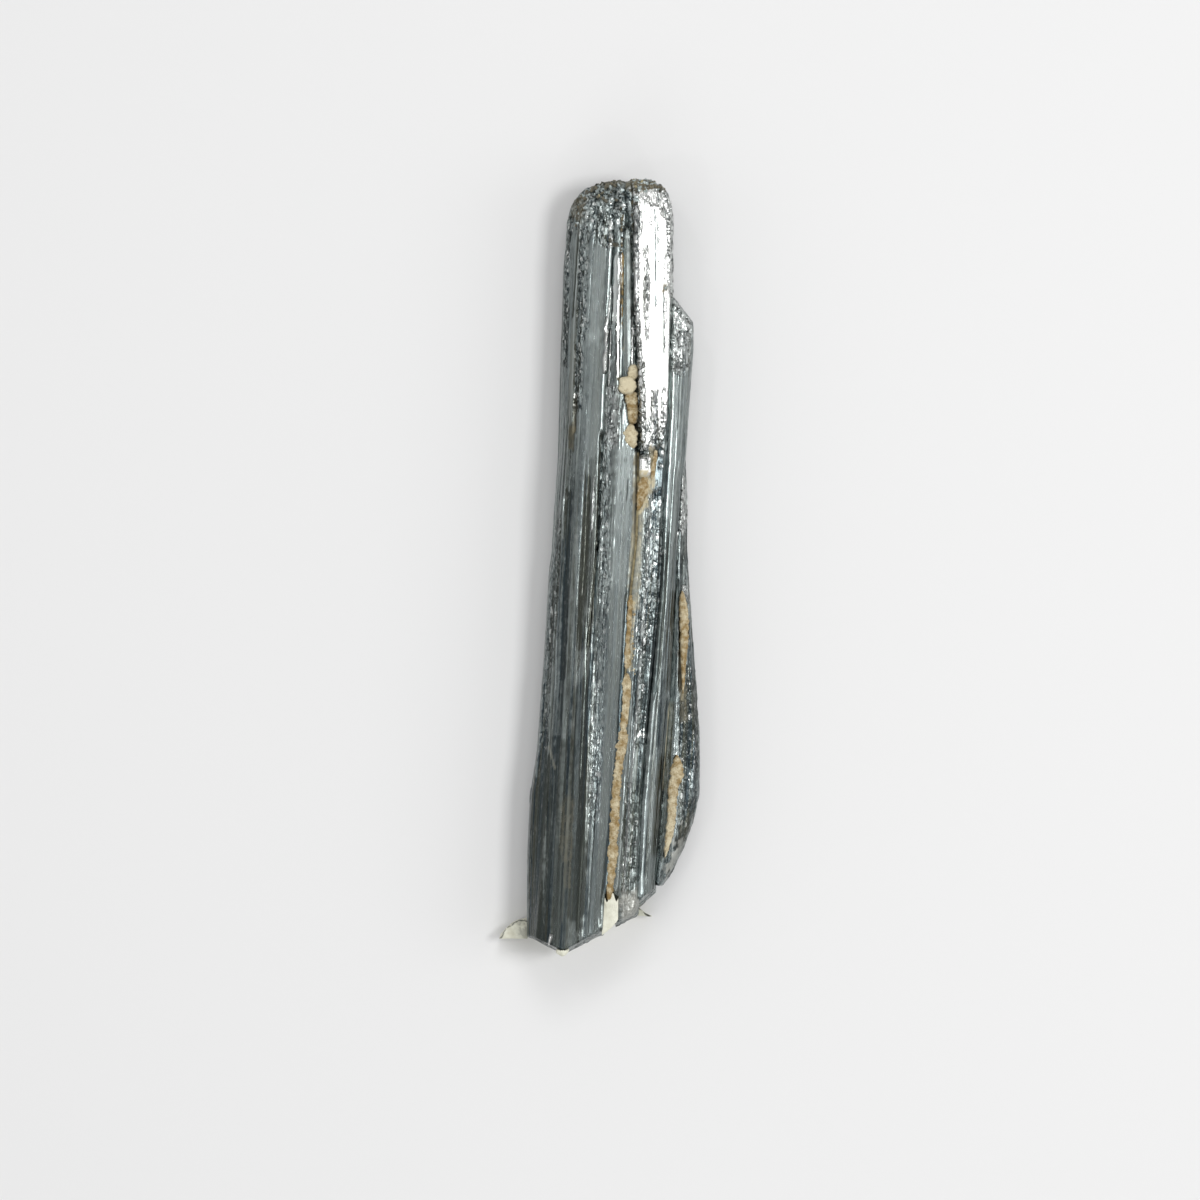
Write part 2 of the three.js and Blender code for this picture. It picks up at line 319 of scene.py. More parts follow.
def length(name, description, default):
    return bpy.props.FloatProperty(
        name=name, description=description, default=default * MM, min=0, unit="LENGTH"
    )


class PrismSizes(bpy.types.PropertyGroup):
    """Sizes of the lamellae, striations and chips on the prisms."""

    lamella_width: length("Lamella width", "Width of one flat lamella", 0.8)
    lamella_step: length("Lamella step", "Height between neighbouring lamellae", 0.15)
    striation_width: length("Striation width", "Width of one fine striation", 0.28)
    striation_step: length("Striation step", "Height of one fine striation", 0.05)
    chip_width: length("Chip width", "Width of one chip where the surface is etched", 0.5)
    chip_step: length("Chip step", "Depth of the chips", 0.16)
    seed: bpy.props.IntProperty(name="Seed", description="Changes every random cell", default=7)


class Finishes(bpy.types.PropertyGroup):
    """Colours of the mineral surfaces."""

    stibnite_dark: colour("Stibnite, dark", "The darkest, bluish lamellae", (0.035, 0.05, 0.058))
    stibnite_olive: colour("Stibnite, olive", "The darkest, olive lamellae", (0.065, 0.07, 0.058))
    # paler lamellae, and also painted light where faces turn to the lamps, mixed in by the tone
    # mark
    stibnite_light: colour("Stibnite, light", "Lamellae turned to the light", (0.48, 0.54, 0.53))
    # painted highlight: near-white colour laid on the raised plate, the polished streaks and the
    # glints
    stibnite_highlight: colour("Stibnite, painted highlight", "The bright plate", (0.9, 0.91, 0.89))
    film: colour("Brown film", "Iron-stained film on the prisms", (0.17, 0.145, 0.085))
    dirt: colour("Dirt", "Olive-brown dirt on the crowns", (0.15, 0.13, 0.08))
    crust: colour("Pale crust", "Grey, half clear crust", (0.46, 0.46, 0.42))
    clay_deep: colour("Clay, deep", "Ochre clay in the seams", (0.31, 0.205, 0.075))
    clay_olive: colour("Clay, olive", "Thin olive clay on the prisms", (0.36, 0.32, 0.19))
    clay_pale: colour("Clay, pale", "Dry, pale clay", (0.74, 0.66, 0.46))
    calcite: colour("Calcite", "Pale calcite at the foot", (0.78, 0.78, 0.66))
    calcite_grey: colour("Calcite, grey", "Its greyer clouds", (0.55, 0.54, 0.43))


class Studio(bpy.types.PropertyGroup):
    """Floor, light and camera."""

    floor: colour("Floor", "Plain pale floor", (0.78, 0.78, 0.78))
    sky: bpy.props.FloatProperty(
        name="Sky", description="Brightness of the even light from all round", default=0.5, min=0
    )
    key_watts: bpy.props.FloatProperty(
        name="Key light", description="Power of the key light", default=2.6, min=0, unit="POWER"
    )


# ---------------------------------------------------------------- marks on the prisms

# the tone mark is mostly painted light and shade, and in places the metal's own colour; the polish
# mark lays on a painted highlight
MARKS = ("tone", "polish", "etch", "stain", "pale", "ochre", "calm", "cut")


def streak(start, end, half, **marks):
    """A straight streak, from one (x, y) place to another, and what it marks there. On a prism,
    tone makes it lighter or darker, mostly as painted light and shade and in places as its own
    colour, polish lays a painted highlight on it and tilts it a little, or dulls it below 0, etch
    chipped, stain brown, pale crusted, ochre clayey and calm flatter, and cut sinks it, in
    millimetres. Elsewhere, grains is how thick grains lie, and rim a dark edge."""
    return {"start": start, "end": end, "half": half, "marks": marks}


LEFT_STREAKS = [
    # painted shade on the side that looks away from the light
    streak((-8.7, -1), (-8.4, 28), 1.6, tone=-0.36),
    streak((-9.4, 1), (-8.9, 24), 1.2, tone=-0.42),
    streak((-6.2, 2), (-5.2, 30), 1.5, tone=-0.24, calm=0.35),
    streak((-3.2, 6), (-2.5, 38), 1.3, tone=-0.26, calm=0.45),
    streak((-5.2, 30), (-3.0, 66), 1.6, tone=-0.12),
    streak((-7.0, 22), (-4.1, 92), 1.3, tone=-0.12),
    streak((-4.2, 66), (-5.2, 40), 0.4, tone=-0.28, cut=0.12),
    streak((-1.7, 68), (-2.7, 44), 0.5, tone=-0.27),
    # the dark groove, with painted shade in it, and the light edge beside it, with a painted
    # highlight
    streak((0.1, 74), (-0.45, 58), 0.2, tone=-0.5, cut=0.3),
    streak((-0.45, 58), (-1.7, 44), 0.2, tone=-0.42, cut=0.25),
    streak((-0.85, 68), (-1.2, 60.5), 0.12, tone=0.3, polish=0.5),
    # chipped band along the groove
    streak((0.8, 73), (0.6, 50), 0.8, etch=0.6, tone=0.4),
    streak((-0.1, 47), (-0.8, 20), 1.0, etch=0.3, tone=0.12),
    # the smooth facet along the seam, lightened with painted light, with a few dark marks
    streak((3.7, 71.5), (3.6, 66.5), 1.25, tone=0.24, calm=1),
    streak((3.6, 71.5), (3.3, 61.5), 1.35, tone=0.17, calm=1),
    streak((3.5, 71.5), (3.0, 54), 1.3, tone=0.17, calm=1),
    streak((3.95, 67.8), (3.75, 64.6), 0.13, tone=-0.75),
    streak((3.45, 70.4), (3.65, 70.3), 0.18, tone=-0.7),
    streak((2.95, 65.7), (3.05, 65.6), 0.17, tone=-0.7),
    streak((2.9, 57), (2.3, 44), 1.2, tone=0.08, calm=1.1),
    streak((1.9, 42), (0.3, 6), 1.1, tone=0.01, calm=1),
    streak((-4, -2), (-3, 12), 5.5, calm=0.45, tone=-0.03),
    # painted shade along the edge of the seam, deepened with brown film
    streak((0.25, 8), (2.6, 32), 0.24, tone=-0.3),
    streak((2.6, 32), (3.7, 51), 0.28, tone=-0.35),
    streak((3.85, 51), (4.7, 59.2), 0.34, tone=-0.55, stain=0.3),
    streak((4.75, 59.2), (4.95, 71.5), 0.3, tone=-0.6, stain=0.7),
    streak((3.6, 44), (4.6, 60), 0.2, ochre=0.35),
    streak((-3.3, 2), (-1.9, 30), 0.3, tone=-0.2),
    streak((-1.9, 30), (-1.35, 43), 0.25, tone=-0.2),
    # the long blue-grey face
    streak((-0.1, 100), (-0.7, 88), 1.0, tone=0.27, calm=0.7),
    streak((-0.7, 87), (-1.0, 72), 1.1, tone=0.16, calm=0.6),
    # painted highlights on edges in the upper seam
    streak((1.8, 99.5), (0.75, 89), 0.13, polish=1, tone=0.4),
    streak((0.75, 89), (0.45, 83), 0.12, polish=1, tone=0.4),
    streak((2.45, 99), (2.2, 90), 0.4, polish=0.35, tone=0.3, calm=1),
    streak((2.95, 99.5), (2.5, 89), 0.14, polish=1, tone=0.4),
    streak((2.5, 89), (2.45, 82), 0.14, polish=1, tone=0.4),
    streak((1.6, 89), (1.2, 80.5), 0.13, polish=0.8, tone=0.3),
    streak((1.3, 104), (1.4, 101), 0.2, polish=0.8, tone=0.3),
    streak((1.7, 80), (1.6, 73), 0.85, etch=0.8, polish=0.3, tone=0.2),
    # chipped bands on the left, with painted shade in their cracks and painted highlights on thin
    # ridges
    streak((-2.1, 104), (-2.4, 88), 0.65, etch=1.3, tone=0.12),
    streak((-2.8, 88), (-3.0, 78), 0.6, etch=1.3, tone=0.05),
    streak((-3.3, 79.5), (-3.5, 74.5), 0.22, tone=-0.5, stain=0.3, cut=0.3),
    streak((-3.8, 75), (-3.9, 72.4), 0.4, stain=0.4, tone=-0.25),
    streak((-4.0, 105), (-4.6, 98), 0.4, etch=1.2, tone=-0.1),
    streak((-4.6, 98), (-4.8, 84), 0.4, etch=1.2, tone=-0.1),
    streak((-3.2, 102), (-3.6, 88), 0.35, calm=1),
    streak((-2.5, 105.3), (-3.4, 92.3), 0.08, tone=0.45),
    streak((-2.75, 105), (-3.65, 91), 0.1, tone=-0.4, cut=0.1),
    streak((-3.45, 91.5), (-3.85, 76), 0.08, tone=0.35),
    streak((-4.4, 103), (-4.95, 86), 0.1, tone=-0.35, cut=0.12),
    streak((-3.6, 88), (-4.0, 74), 0.35, calm=1, stain=0.15),
    streak((-5.9, 62), (-8.0, 30), 0.7, etch=0.6),
    # stains near the foot, and scratches with painted highlights
    streak((-4.6, 22), (-4.8, 15), 0.9, stain=0.3),
    streak((-4.6, 14), (-4.6, 10), 0.5, stain=0.3),
    streak((-7.1, 30), (-6.2, 27), 0.16, tone=0.25, stain=0.5),
    streak((-6.0, 45), (-6.1, 38), 0.12, tone=0.3),
    streak((-7.6, 16.6), (-7.6, 5), 0.35, tone=0.14),
    streak((-7.3, 0.9), (-6.8, 3.2), 0.13, polish=0.9, tone=0.3),
    # the etched crown, with painted shade in its cracks, dirt on its left shoulder, and painted
    # light in the shadowed gap beside the right crown
    streak((-1.5, 107), (1.2, 106), 2.8, etch=2.2, tone=0.38),
    streak((-0.3, 103.4), (0.6, 102.6), 1.3, etch=1.6, tone=0.06),
    streak((-0.9, 105.6), (0.2, 104.9), 0.35, tone=-0.4, cut=0.2),
    streak((-0.3, 103.6), (1.1, 104.6), 0.25, tone=-0.4, cut=0.2),
    streak((-2.9, 108.2), (-2.9, 105.2), 1.0, stain=0.5, tone=-0.2),
    streak((0.6, 109.8), (2.6, 109.6), 0.5, stain=0.7),
    streak((3.6, 104), (2.8, 110), 0.5, cut=-0.35, etch=1),
    streak((3.5, 108), (3.4, 96), 0.4, tone=0.25),
]

RIGHT_STREAKS = [
    # the wall of the upper seam, raised, with painted light on its shadowed side
    streak((4.3, 104), (4.0, 110), 0.4, cut=-0.35, etch=1),
    streak((4.5, 109), (4.6, 90), 0.3, tone=0.35),
    # the plate's chipped left rim, where its painted highlight is dulled
    streak((5.05, 108.5), (5.0, 92), 0.42, etch=1.3, polish=-0.1),
    streak((5.0, 92), (5.6, 84), 0.42, etch=1.3, polish=-0.1),
    streak((5.5, 105.4), (5.4, 102.4), 0.4, etch=1.3, polish=-0.1),
    streak((5.2, 84), (5.9, 73), 0.5, etch=1.3, polish=0.3, tone=0.2),
    # its right rim and its crown, with painted highlights, and painted shade in a crack
    streak((9.9, 107), (10.05, 94), 0.45, etch=1.2, polish=0.8, tone=0.3),
    streak((6.6, 108.2), (8.2, 107.6), 1.0, etch=0.3, polish=1, tone=0.3),
    streak((8.6, 107.6), (9.4, 105.4), 0.7, etch=1.2, polish=0.9, tone=0.3),
    streak((9.4, 108.4), (10.1, 106.4), 0.12, tone=-0.6, cut=0.2),
    # dull lines on it, where the painted highlight is taken away
    streak((7.75, 106), (7.9, 92), 0.12, polish=-0.3),
    streak((8.1, 105), (8.2, 98), 0.1, polish=-0.25),
    streak((8.95, 94), (9.05, 82), 0.12, polish=-0.3),
    streak((6.4, 100.5), (6.7, 93), 0.35, polish=-0.09, etch=0.5),
    streak((6.3, 107), (6.25, 101), 0.1, polish=-0.25),
    # its crinkled foot
    streak((7.3, 73.8), (7.2, 71.8), 1.8, etch=1.7, tone=0.3),
    streak((7.7, 80), (7.6, 74), 0.5, etch=0.9, polish=-0.07),
    streak((9.0, 80), (8.8, 74), 0.3, etch=0.9),
    streak((6.0, 84), (6.2, 74), 0.3, etch=1.5, polish=-0.1),
    streak((8.1, 79.5), (8.0, 75), 0.45, calm=1, polish=-0.11),
    # chipped lines and dirt on it
    streak((6.4, 96), (6.6, 88), 0.3, etch=0.7, polish=-0.05),
    streak((9.1, 99), (9.2, 86), 0.2, etch=0.5),
    streak((4.2, 109.6), (6.2, 109.4), 0.8, stain=0.8, tone=-0.1),
    streak((9.1, 95), (9.1, 94.4), 0.4, stain=1),
    # the prism below the plate: smooth, with painted shade where it would mirror the key light,
    # then chipped
    streak((8.6, 73), (8.4, 65), 0.9, calm=1, polish=-0.25),
    streak((7.5, 65), (7.0, 52), 1.5, etch=0.6, tone=0.22),
    streak((6.9, 51), (6.3, 45), 1.3, etch=0.5, tone=0.02),
    streak((6.3, 45), (5.4, 30), 0.8, etch=0.45, tone=-0.05),
    streak((7.0, 50), (4.9, 12), 0.9, tone=-0.1),
    streak((9.25, 73), (8.5, 52), 0.4, tone=0.4),
    streak((8.5, 60), (5.7, 20), 0.3, tone=-0.25),
    streak((4.5, 24), (4.0, 10), 1.0, etch=0.45, tone=-0.08),
    # thin clay along the seam
    streak((5.5, 64), (4.9, 50), 0.6, ochre=0.42, calm=1),
    streak((6.1, 67.6), (5.6, 64.2), 1.2, ochre=1.0, calm=0.6),
    streak((7.4, 72), (7.3, 67), 0.45, ochre=0.7),
    streak((4.6, 50), (4.2, 41), 0.35, ochre=0.5),
    streak((5.0, 80), (5.2, 73.5), 0.3, ochre=0.7),
    # dark spots, and cracks with painted shade in them
    streak((5.1, 40), (5.0, 34.5), 0.45, tone=-0.3),
    streak((3.6, 19), (3.5, 17), 0.4, tone=-0.4),
    streak((7.3, 65.2), (8.6, 66.2), 0.14, tone=-0.6, cut=0.35),
    streak((5.4, 45.2), (6.4, 43.8), 0.13, tone=-0.6, cut=0.35),
    streak((5.9, 51.4), (8.2, 51.5), 0.1, tone=-0.35, cut=0.2),
    streak((5.9, 71.8), (8.6, 72.2), 0.25, tone=-0.6),
    streak((4.2, 8), (4.6, 5.5), 1.5, pale=0.7, etch=0.8),
]

BLADE_STREAKS = [
    # painted light where the seam shades the blade, and a painted highlight on its right edge
    streak((3.9, 106), (3.9, 84), 0.6, calm=1, tone=0.22, stain=0.12),
    streak((4.6, 92), (4.5, 82), 0.16, polish=0.8, tone=0.3),
    streak((4.0, 109.5), (4.0, 108), 0.7, stain=0.8),
    streak((4.3, 90), (4.3, 84.5), 0.3, calm=1, tone=0.45),
    streak((3.35, 104), (3.3, 86), 0.12, ochre=0.8),
]

FLANK_STREAKS = [
    # the chipped shoulder, with painted highlights, and painted shade in its cracks
    streak((10.4, 92.6), (12.9, 89.6), 1.5, etch=1.4, polish=0.35, tone=0.3),
    streak((11.2, 91), (11.5, 84.5), 1.3, etch=1.2, polish=0.4, tone=0.4),
    streak((11.4, 91.2), (12.8, 90.0), 0.16, tone=-0.6, cut=0.3),
    streak((10.2, 83.6), (11.4, 83.7), 0.16, tone=-0.6, cut=0.3),
    # long lines down to the foot: painted shade along the ridges, a painted highlight, and a thin
    # line of clay with painted shade beside it
    streak((11.4, 82), (10.8, 70), 1.2, tone=0.12),
    streak((9.5, 64), (6.8, 10), 0.9, tone=-0.03),
    streak((6.2, 12), (7.75, 38), 0.28, tone=-0.3),
    streak((7.75, 38), (9.3, 62), 0.28, tone=-0.3),
    streak((9.6, 60), (8.1, 30), 0.25, tone=-0.25),
    streak((9.4, 36.5), (8.4, 23.7), 0.16, tone=-0.35),
    streak((10.9, 60), (10.7, 45), 0.16, polish=0.8, tone=0.4),
    streak((9.75, 36), (8.85, 24), 0.15, ochre=0.9),
]

SIDE_STREAKS = [
    # painted highlights on the chipped streaks at the top
    streak((12.0, 67.5), (12.1, 60.5), 0.55, etch=1, polish=0.8, tone=0.3),
    streak((12.2, 52.8), (12.2, 51), 0.45, etch=1, polish=0.9),
    streak((11.8, 38), (11.9, 34), 0.5, stain=0.5, tone=-0.3),
    streak((12.2, 62), (12.6, 40), 1.0, tone=-0.22),
    streak((12.6, 38), (12.9, 28), 1.5, etch=0.55, tone=-0.42),
    streak((13.2, 27), (12.6, 20), 1.4, etch=0.5, tone=-0.13),
    streak((11.4, 43), (11.6, 37), 0.35, ochre=0.35),
    streak((11.4, 16.5), (13.2, 20.5), 0.9, stain=0.2, tone=-0.6),
    streak((10.2, 12), (11.7, 15.6), 1.0, pale=0.8, tone=0.1),
]

# ---------------------------------------------------------------- prisms


def streak_tree():
    """Node group: 1 inside a straight streak, 0 outside, with a soft edge."""
    inputs = {"Vector": ["Point", "Waver", "Start", "End"], "Float": ["Half", "Edge"]}
    net, entry = new_tree("streak", inputs, "Mask", "Float")
    run = entry["End"] - entry["Start"]
    ahead = entry["Point"] + entry["Waver"] * entry["Half"] - entry["Start"]
    share = (net.math("DOT_PRODUCT", ahead, run) / net.math("DOT_PRODUCT", run, run)).clamp()
    gap = net.math("LENGTH", ahead - run * share)
    mask = ((entry["Half"] - gap) / entry["Edge"] + 0.5).clamp()
    net.node("NodeGroupOutput", inputs={"Mask": mask})
    return net.tree


# Shares of a prism's length: where the net leaves the foot's face and reaches its wall, and the
# same at the crown.
FOOT_FACE, FOOT_WALL, CROWN_WALL, CROWN_FACE = 0.07, 0.11, 0.86, 0.93


def wrap(net, entry, shares):
    """Adds the nodes that draw a net of rows and columns tight over a solid, by rays from an axis
    inside it: straight out along the body, and turning to the ends over the caps.
    Returns the wrapped mesh, with the solid's normal stored on it."""
    front, side, back = shares
    right_end = front + side
    back_end = right_end + back
    grid, around, along = net.grid(entry["Columns"], entry["Rows"])
    x = net.curve(around, (0, 0), (front, 1), (right_end, 1), (back_end, 0), (1, 0)) * 2 - 1
    z = net.curve(around, (0, 1), (front, 1), (right_end, 0), (back_end, 0), (1, 1)) * 2 - 1
    spread = net.curve(along, (0, 0), (FOOT_FACE, 1), (CROWN_FACE, 1), (1, 0))
    rise = net.curve(
        along, (0, 0), (FOOT_FACE, 0), (FOOT_WALL, 0.5), (CROWN_WALL, 0.5), (CROWN_FACE, 1), (1, 1)
    ) * 2 - 1
    share = net.curve(along, (0, 0), (FOOT_WALL, 0), (CROWN_WALL, 1), (1, 1))
    start = entry["Foot"] + (entry["Crown"] - entry["Foot"]) * share
    start = start + net.vector(entry["Bow"] * 4 * share * (1 - share), 0.0, 0.0)
    reach_x, reach_y, reach_z = entry["Reach"].parts
    ray = net.node("GeometryNodeRaycast", inputs={
        "Target Geometry": net.solid(entry["Solid"]),
        "Source Position": start,
        "Ray Direction": net.vector(x * spread * reach_x, rise * reach_y, z * spread * reach_z),
        "Ray Length": 1.0,
    })
    mesh = net.store(grid, "face", ray["Hit Normal"], "FLOAT_VECTOR")
    mesh = net.send(mesh, "SetPosition", Position=ray["Hit Position"])
    return net.send(mesh, "MergeByDistance", Distance=JOIN)


def facets(net, place, step, tilt):
    """Height of a flat, tilted facet for each cell, and the cell's first random number."""
    (first, second, third), way = net.cells(place)
    across, _, deep = way.parts
    slope = across * (second - 0.5) + deep * (third - 0.5)
    return (first - 0.5) * step + slope * tilt, first


EDGE, EDGE_SHARE = 0.06, 0.4  # a streak's soft edge: in millimetres, and for each of its half
WAVER_ACROSS, WAVER_ALONG = 1.4, 4  # how far a streak's outline strays, in half widths
WALL_TOP, WALL_WAVER = 12, 1.2  # below this height the outline strays further along the prism


def marked(net, point, streaks, group):
    """Adds the nodes of a list of streaks, and returns the sum of each mark."""
    waver = net.node(
        "ShaderNodeTexNoise", inputs={"Vector": point, "Scale": 0.9, "Detail": 2.0}
    )["Color"].parts
    x, y, z = point.parts
    flat = net.vector(x, y, 0.0)
    ragged = (WALL_TOP - z).most(0.0) * WALL_WAVER + WAVER_ALONG
    wander = net.vector((waver[0] - 0.5) * WAVER_ACROSS, (waver[1] - 0.5) * ragged, 0.0)
    totals = {}
    for item in streaks:
        mask = net.node("GeometryNodeGroup", {"node_tree": group}, {
            "Point": flat,
            "Waver": wander,
            "Start": (*item["start"], 0),
            "End": (*item["end"], 0),
            "Half": float(item["half"]),
            "Edge": EDGE + EDGE_SHARE * item["half"],
        })["Mask"]
        for mark, amount in item["marks"].items():
            share = mask * float(amount)
            totals[mark] = totals[mark] + share if mark in totals else share
    return totals


PRISM_INPUTS = {
    "Object": ["Solid"],
    "Vector": ["Foot", "Crown", "Reach"],
    "Int": ["Columns", "Rows", "Seed"],
    "Float": [
        "Bow", "Lean Low", "Lean High", "Bend", "Etch", "Swell Left", "Swell Right", "Plate",
        "Lamella Width", "Lamella Step", "Striation Width", "Striation Step", "Chip Width",
        "Chip Step",
    ],
    "Material": ["Material"],
}
# How long each kind of facet is, for its width, and how much it tilts, for its step.
FACETS = {"Lamella": (34, 0.7), "Striation": (60, 0.8), "Chip": (1.6, 1.2)}
SEED_SHIFT = 17.3  # how far one seed's cells lie from the next one's
FADE = (5.5, 9.5)  # the heights between which the marks of the front fade in
FADE_WAVER = 7  # how far these heights stray
BACK_SHARE = 0.1  # what is left of the marks at the back
CROWN = (98, 102)  # the crown begins here, and is as chipped all round
PLATE_RIM = 0.25  # height over which the painted highlight of a raised plate begins, in millimetres
CHIP_SINK = 0.06  # how far a chipped face lies below a whole one, in millimetres
CALM_SHARE = 0.95  # how much of the facets' height a calm face loses
FLOOR_GAP = 0.02  # kept above the floor, in millimetres
WALL = (0.3, 0.6)  # a wall begins, and is whole, where its normal points this far sideways


def prism_tree(name, streaks, shares, streak_group):
    """Geometry Nodes tree of one striated prism."""
    net, entry = new_tree(name, PRISM_INPUTS)
    mesh = wrap(net, entry, shares)
    place = net.place()
    point = in_mm(place)
    x, y, z = point.parts
    lean = entry["Lean Low"] * y.least(entry["Bend"])
    lean = lean + entry["Lean High"] * (y - entry["Bend"]).most(0.0)
    seed = entry["Seed"] * SEED_SHIFT
    upright = net.vector(x - lean, y, z)
    shifted = upright + net.vector(seed, seed, seed)

    def layer(kind):
        """One kind of facet, laid along the prism."""
        run, tilt = FACETS[kind]
        size = 1 / (entry[kind + " Width"] * (1 / MM))
        step = entry[kind + " Step"]
        return facets(net, shifted * net.vector(size, size * (1 / run), size), step, step * tilt)

    lamellae, lamella = layer("Lamella")
    striae, stria = layer("Striation")
    chips, flake = layer("Chip")

    totals = dict.fromkeys(MARKS, z * 0.0)
    depth = z + (net.noise(point, scale=0.35, detail=3) - 0.5) * FADE_WAVER
    front = depth.step(*FADE) * (1 - BACK_SHARE) + BACK_SHARE
    rough = front.most(y.step(*CROWN))
    for mark, total in marked(net, point, streaks, streak_group).items():
        totals[mark] = total * (rough if mark in ("etch", "stain") else front)
    etch = entry["Etch"] * (1 - totals["calm"].clamp()) + totals["etch"]
    plate = z.step(entry["Plate"] - PLATE_RIM, entry["Plate"])
    calm = plate + totals["calm"]
    height = (lamellae + striae) * (1 - calm.clamp() * CALM_SHARE)
    height = height + (chips - CHIP_SINK * MM) * etch - totals.pop("cut") * MM
    totals.update(etch=etch, calm=calm, plate=plate, height=height)
    totals.update(lamella=lamella, stria=stria, flake=flake)
    for mark, value in totals.items():
        mesh = net.store(mesh, mark, value)
    mesh = net.store(mesh, "grain", upright, "FLOAT_VECTOR")

    # out along the smoothed normals, with the walls pushed out past the solid's
    face = net.node("GeometryNodeBlurAttribute", {"data_type": "FLOAT_VECTOR"}, {
        "Value": net.named("face", "FLOAT_VECTOR"), "Iterations": 2,
    })["Value"]
    face = net.math("NORMALIZE", face)
    side = face.parts[0]
    shift = side.step(*WALL) * entry["Swell Right"]
    shift = shift - (0 - side).step(*WALL) * entry["Swell Left"]
    moved = place + face * net.named("height") + net.vector(shift, 0.0, 0.0)
    moved_x, moved_y, moved_z = moved.parts
    lifted = net.vector(moved_x, moved_y, moved_z.most(CAD_LOW.z + FLOOR_GAP * MM))
    mesh = net.send(mesh, "SetPosition", Position=lifted)
    return finish_tree(net, mesh, entry["Material"])


NO_PLATE = 99  # above every prism

# Each prism: where its inner axis starts and ends, how far the axis bows and reaches, how its
# lines lean up to a bend and above it, how its columns are shared out between front, side and
# back, how chipped it is all over, how far it swells to the left and right, over the solid's
# walls, and how high its raised plate lies, which gets a painted highlight.
PRISMS = {
    "left_crystal": {
        "foot": (-4.9, 6.5, 6.6), "crown": (-0.9, 102.5, 6.6), "bow": 0.0, "reach": (6.6, 5, 6.5),
        "lean": (0.05, 0.052, 60), "columns": 350, "rows": 275, "shares": (0.52, 0.19, 0.1),
        "etch": 0.1, "swell": (0.2, 0.35), "streaks": LEFT_STREAKS,
    },
    "right_crystal": {
        "foot": (4.0, 10.5, 6.8), "crown": (7.2, 102.5, 6.8), "bow": 1.3, "reach": (2.6, 5, 6.6),
        "lean": (0.072, 0.0, 66), "columns": 250, "rows": 300, "shares": (0.36, 0.28, 0.08),
        "etch": 0.1, "swell": (0.3, 0.32), "plate": 13.5, "streaks": RIGHT_STREAKS,
    },
    "seam_blade": {
        "foot": (4.3, 77, 6.0), "crown": (4.0, 106, 6.0), "bow": 0.1, "reach": (0.7, 3, 5.6),
        "lean": (0.0, -0.01, 60), "columns": 90, "rows": 150, "shares": (0.24, 0.34, 0.08),
        "etch": 0.05, "swell": (0.35, 0.35), "streaks": BLADE_STREAKS,
    },
    "flank_crystal": {
        "foot": (6.7, 12, 6.8), "crown": (11.3, 86, 6.8), "bow": 0.0, "reach": (1.3, 4, 5.4),
        "lean": (0.07, 0.05, 66), "columns": 180, "rows": 270, "shares": (0.3, 0.3, 0.1),
        "etch": 0.08, "swell": (0.35, 0.15), "streaks": FLANK_STREAKS,
    },
    "side_crystal": {
        "foot": (9.6, 15, 5.9), "crown": (12.0, 68, 5.9), "bow": 0.9, "reach": (1.7, 2.5, 3.4),
        "lean": (0.06, 0.05, 66), "columns": 160, "rows": 230, "shares": (0.36, 0.24, 0.16),
        "etch": 0.2, "swell": (0.25, 0.0), "streaks": SIDE_STREAKS,
    },
}


class GrowPrisms(bpy.types.Operator):
    """Grow the five striated stibnite prisms over their solids"""

    bl_idname = "stibnite.grow_prisms"
    bl_label = "Grow the prisms"

    def execute(self, context):
        sizes = context.scene.stibnite_sizes
        finish = stibnite_material(context.scene.stibnite_finishes)
        group = streak_tree()
        for node, form in PRISMS.items():
            tree = prism_tree(node + "_growth", form["streaks"], form["shares"], group)
            low_lean, high_lean, bend = form["lean"]
            left, right = form["swell"]
            inputs = {
                "Solid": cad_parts[node],
                "Foot": at(*form["foot"]),
                "Crown": at(*form["crown"]),
                "Bow": form["bow"] * MM,
                "Reach": Vector(form["reach"]) * MM,
                "Columns": form["columns"],
                "Rows": form["rows"],
                "Lean Low": low_lean,
                "Lean High": high_lean,
                "Bend": float(bend),
                "Etch": form["etch"],
                "Swell Left": left * MM,
                "Swell Right": right * MM,
                "Plate": float(form.get("plate", NO_PLATE)),
                "Material": finish,
            }
            for setting in PrismSizes.__annotations__:
                inputs[setting.replace("_", " ").title()] = getattr(sizes, setting)
            attach(grow(node + "_surface", tree, inputs), "stibnite", node)
        return {"FINISHED"}


# ---------------------------------------------------------------- clay

RIBBON_INPUTS = {
    "Int": ["Rows", "Seed"],
    "Float": ["Low", "High", "Bluntness", "Lump", "Tint Low", "Tint High"],
    "Material": ["Material"],
}
RIBBON_COLUMNS = 57
ROW_LENGTH, LEAST_ROWS = 0.12, 24  # in millimetres, and a count
RIBBON_SEEDS = 9  # from one ribbon's seed to the next one's


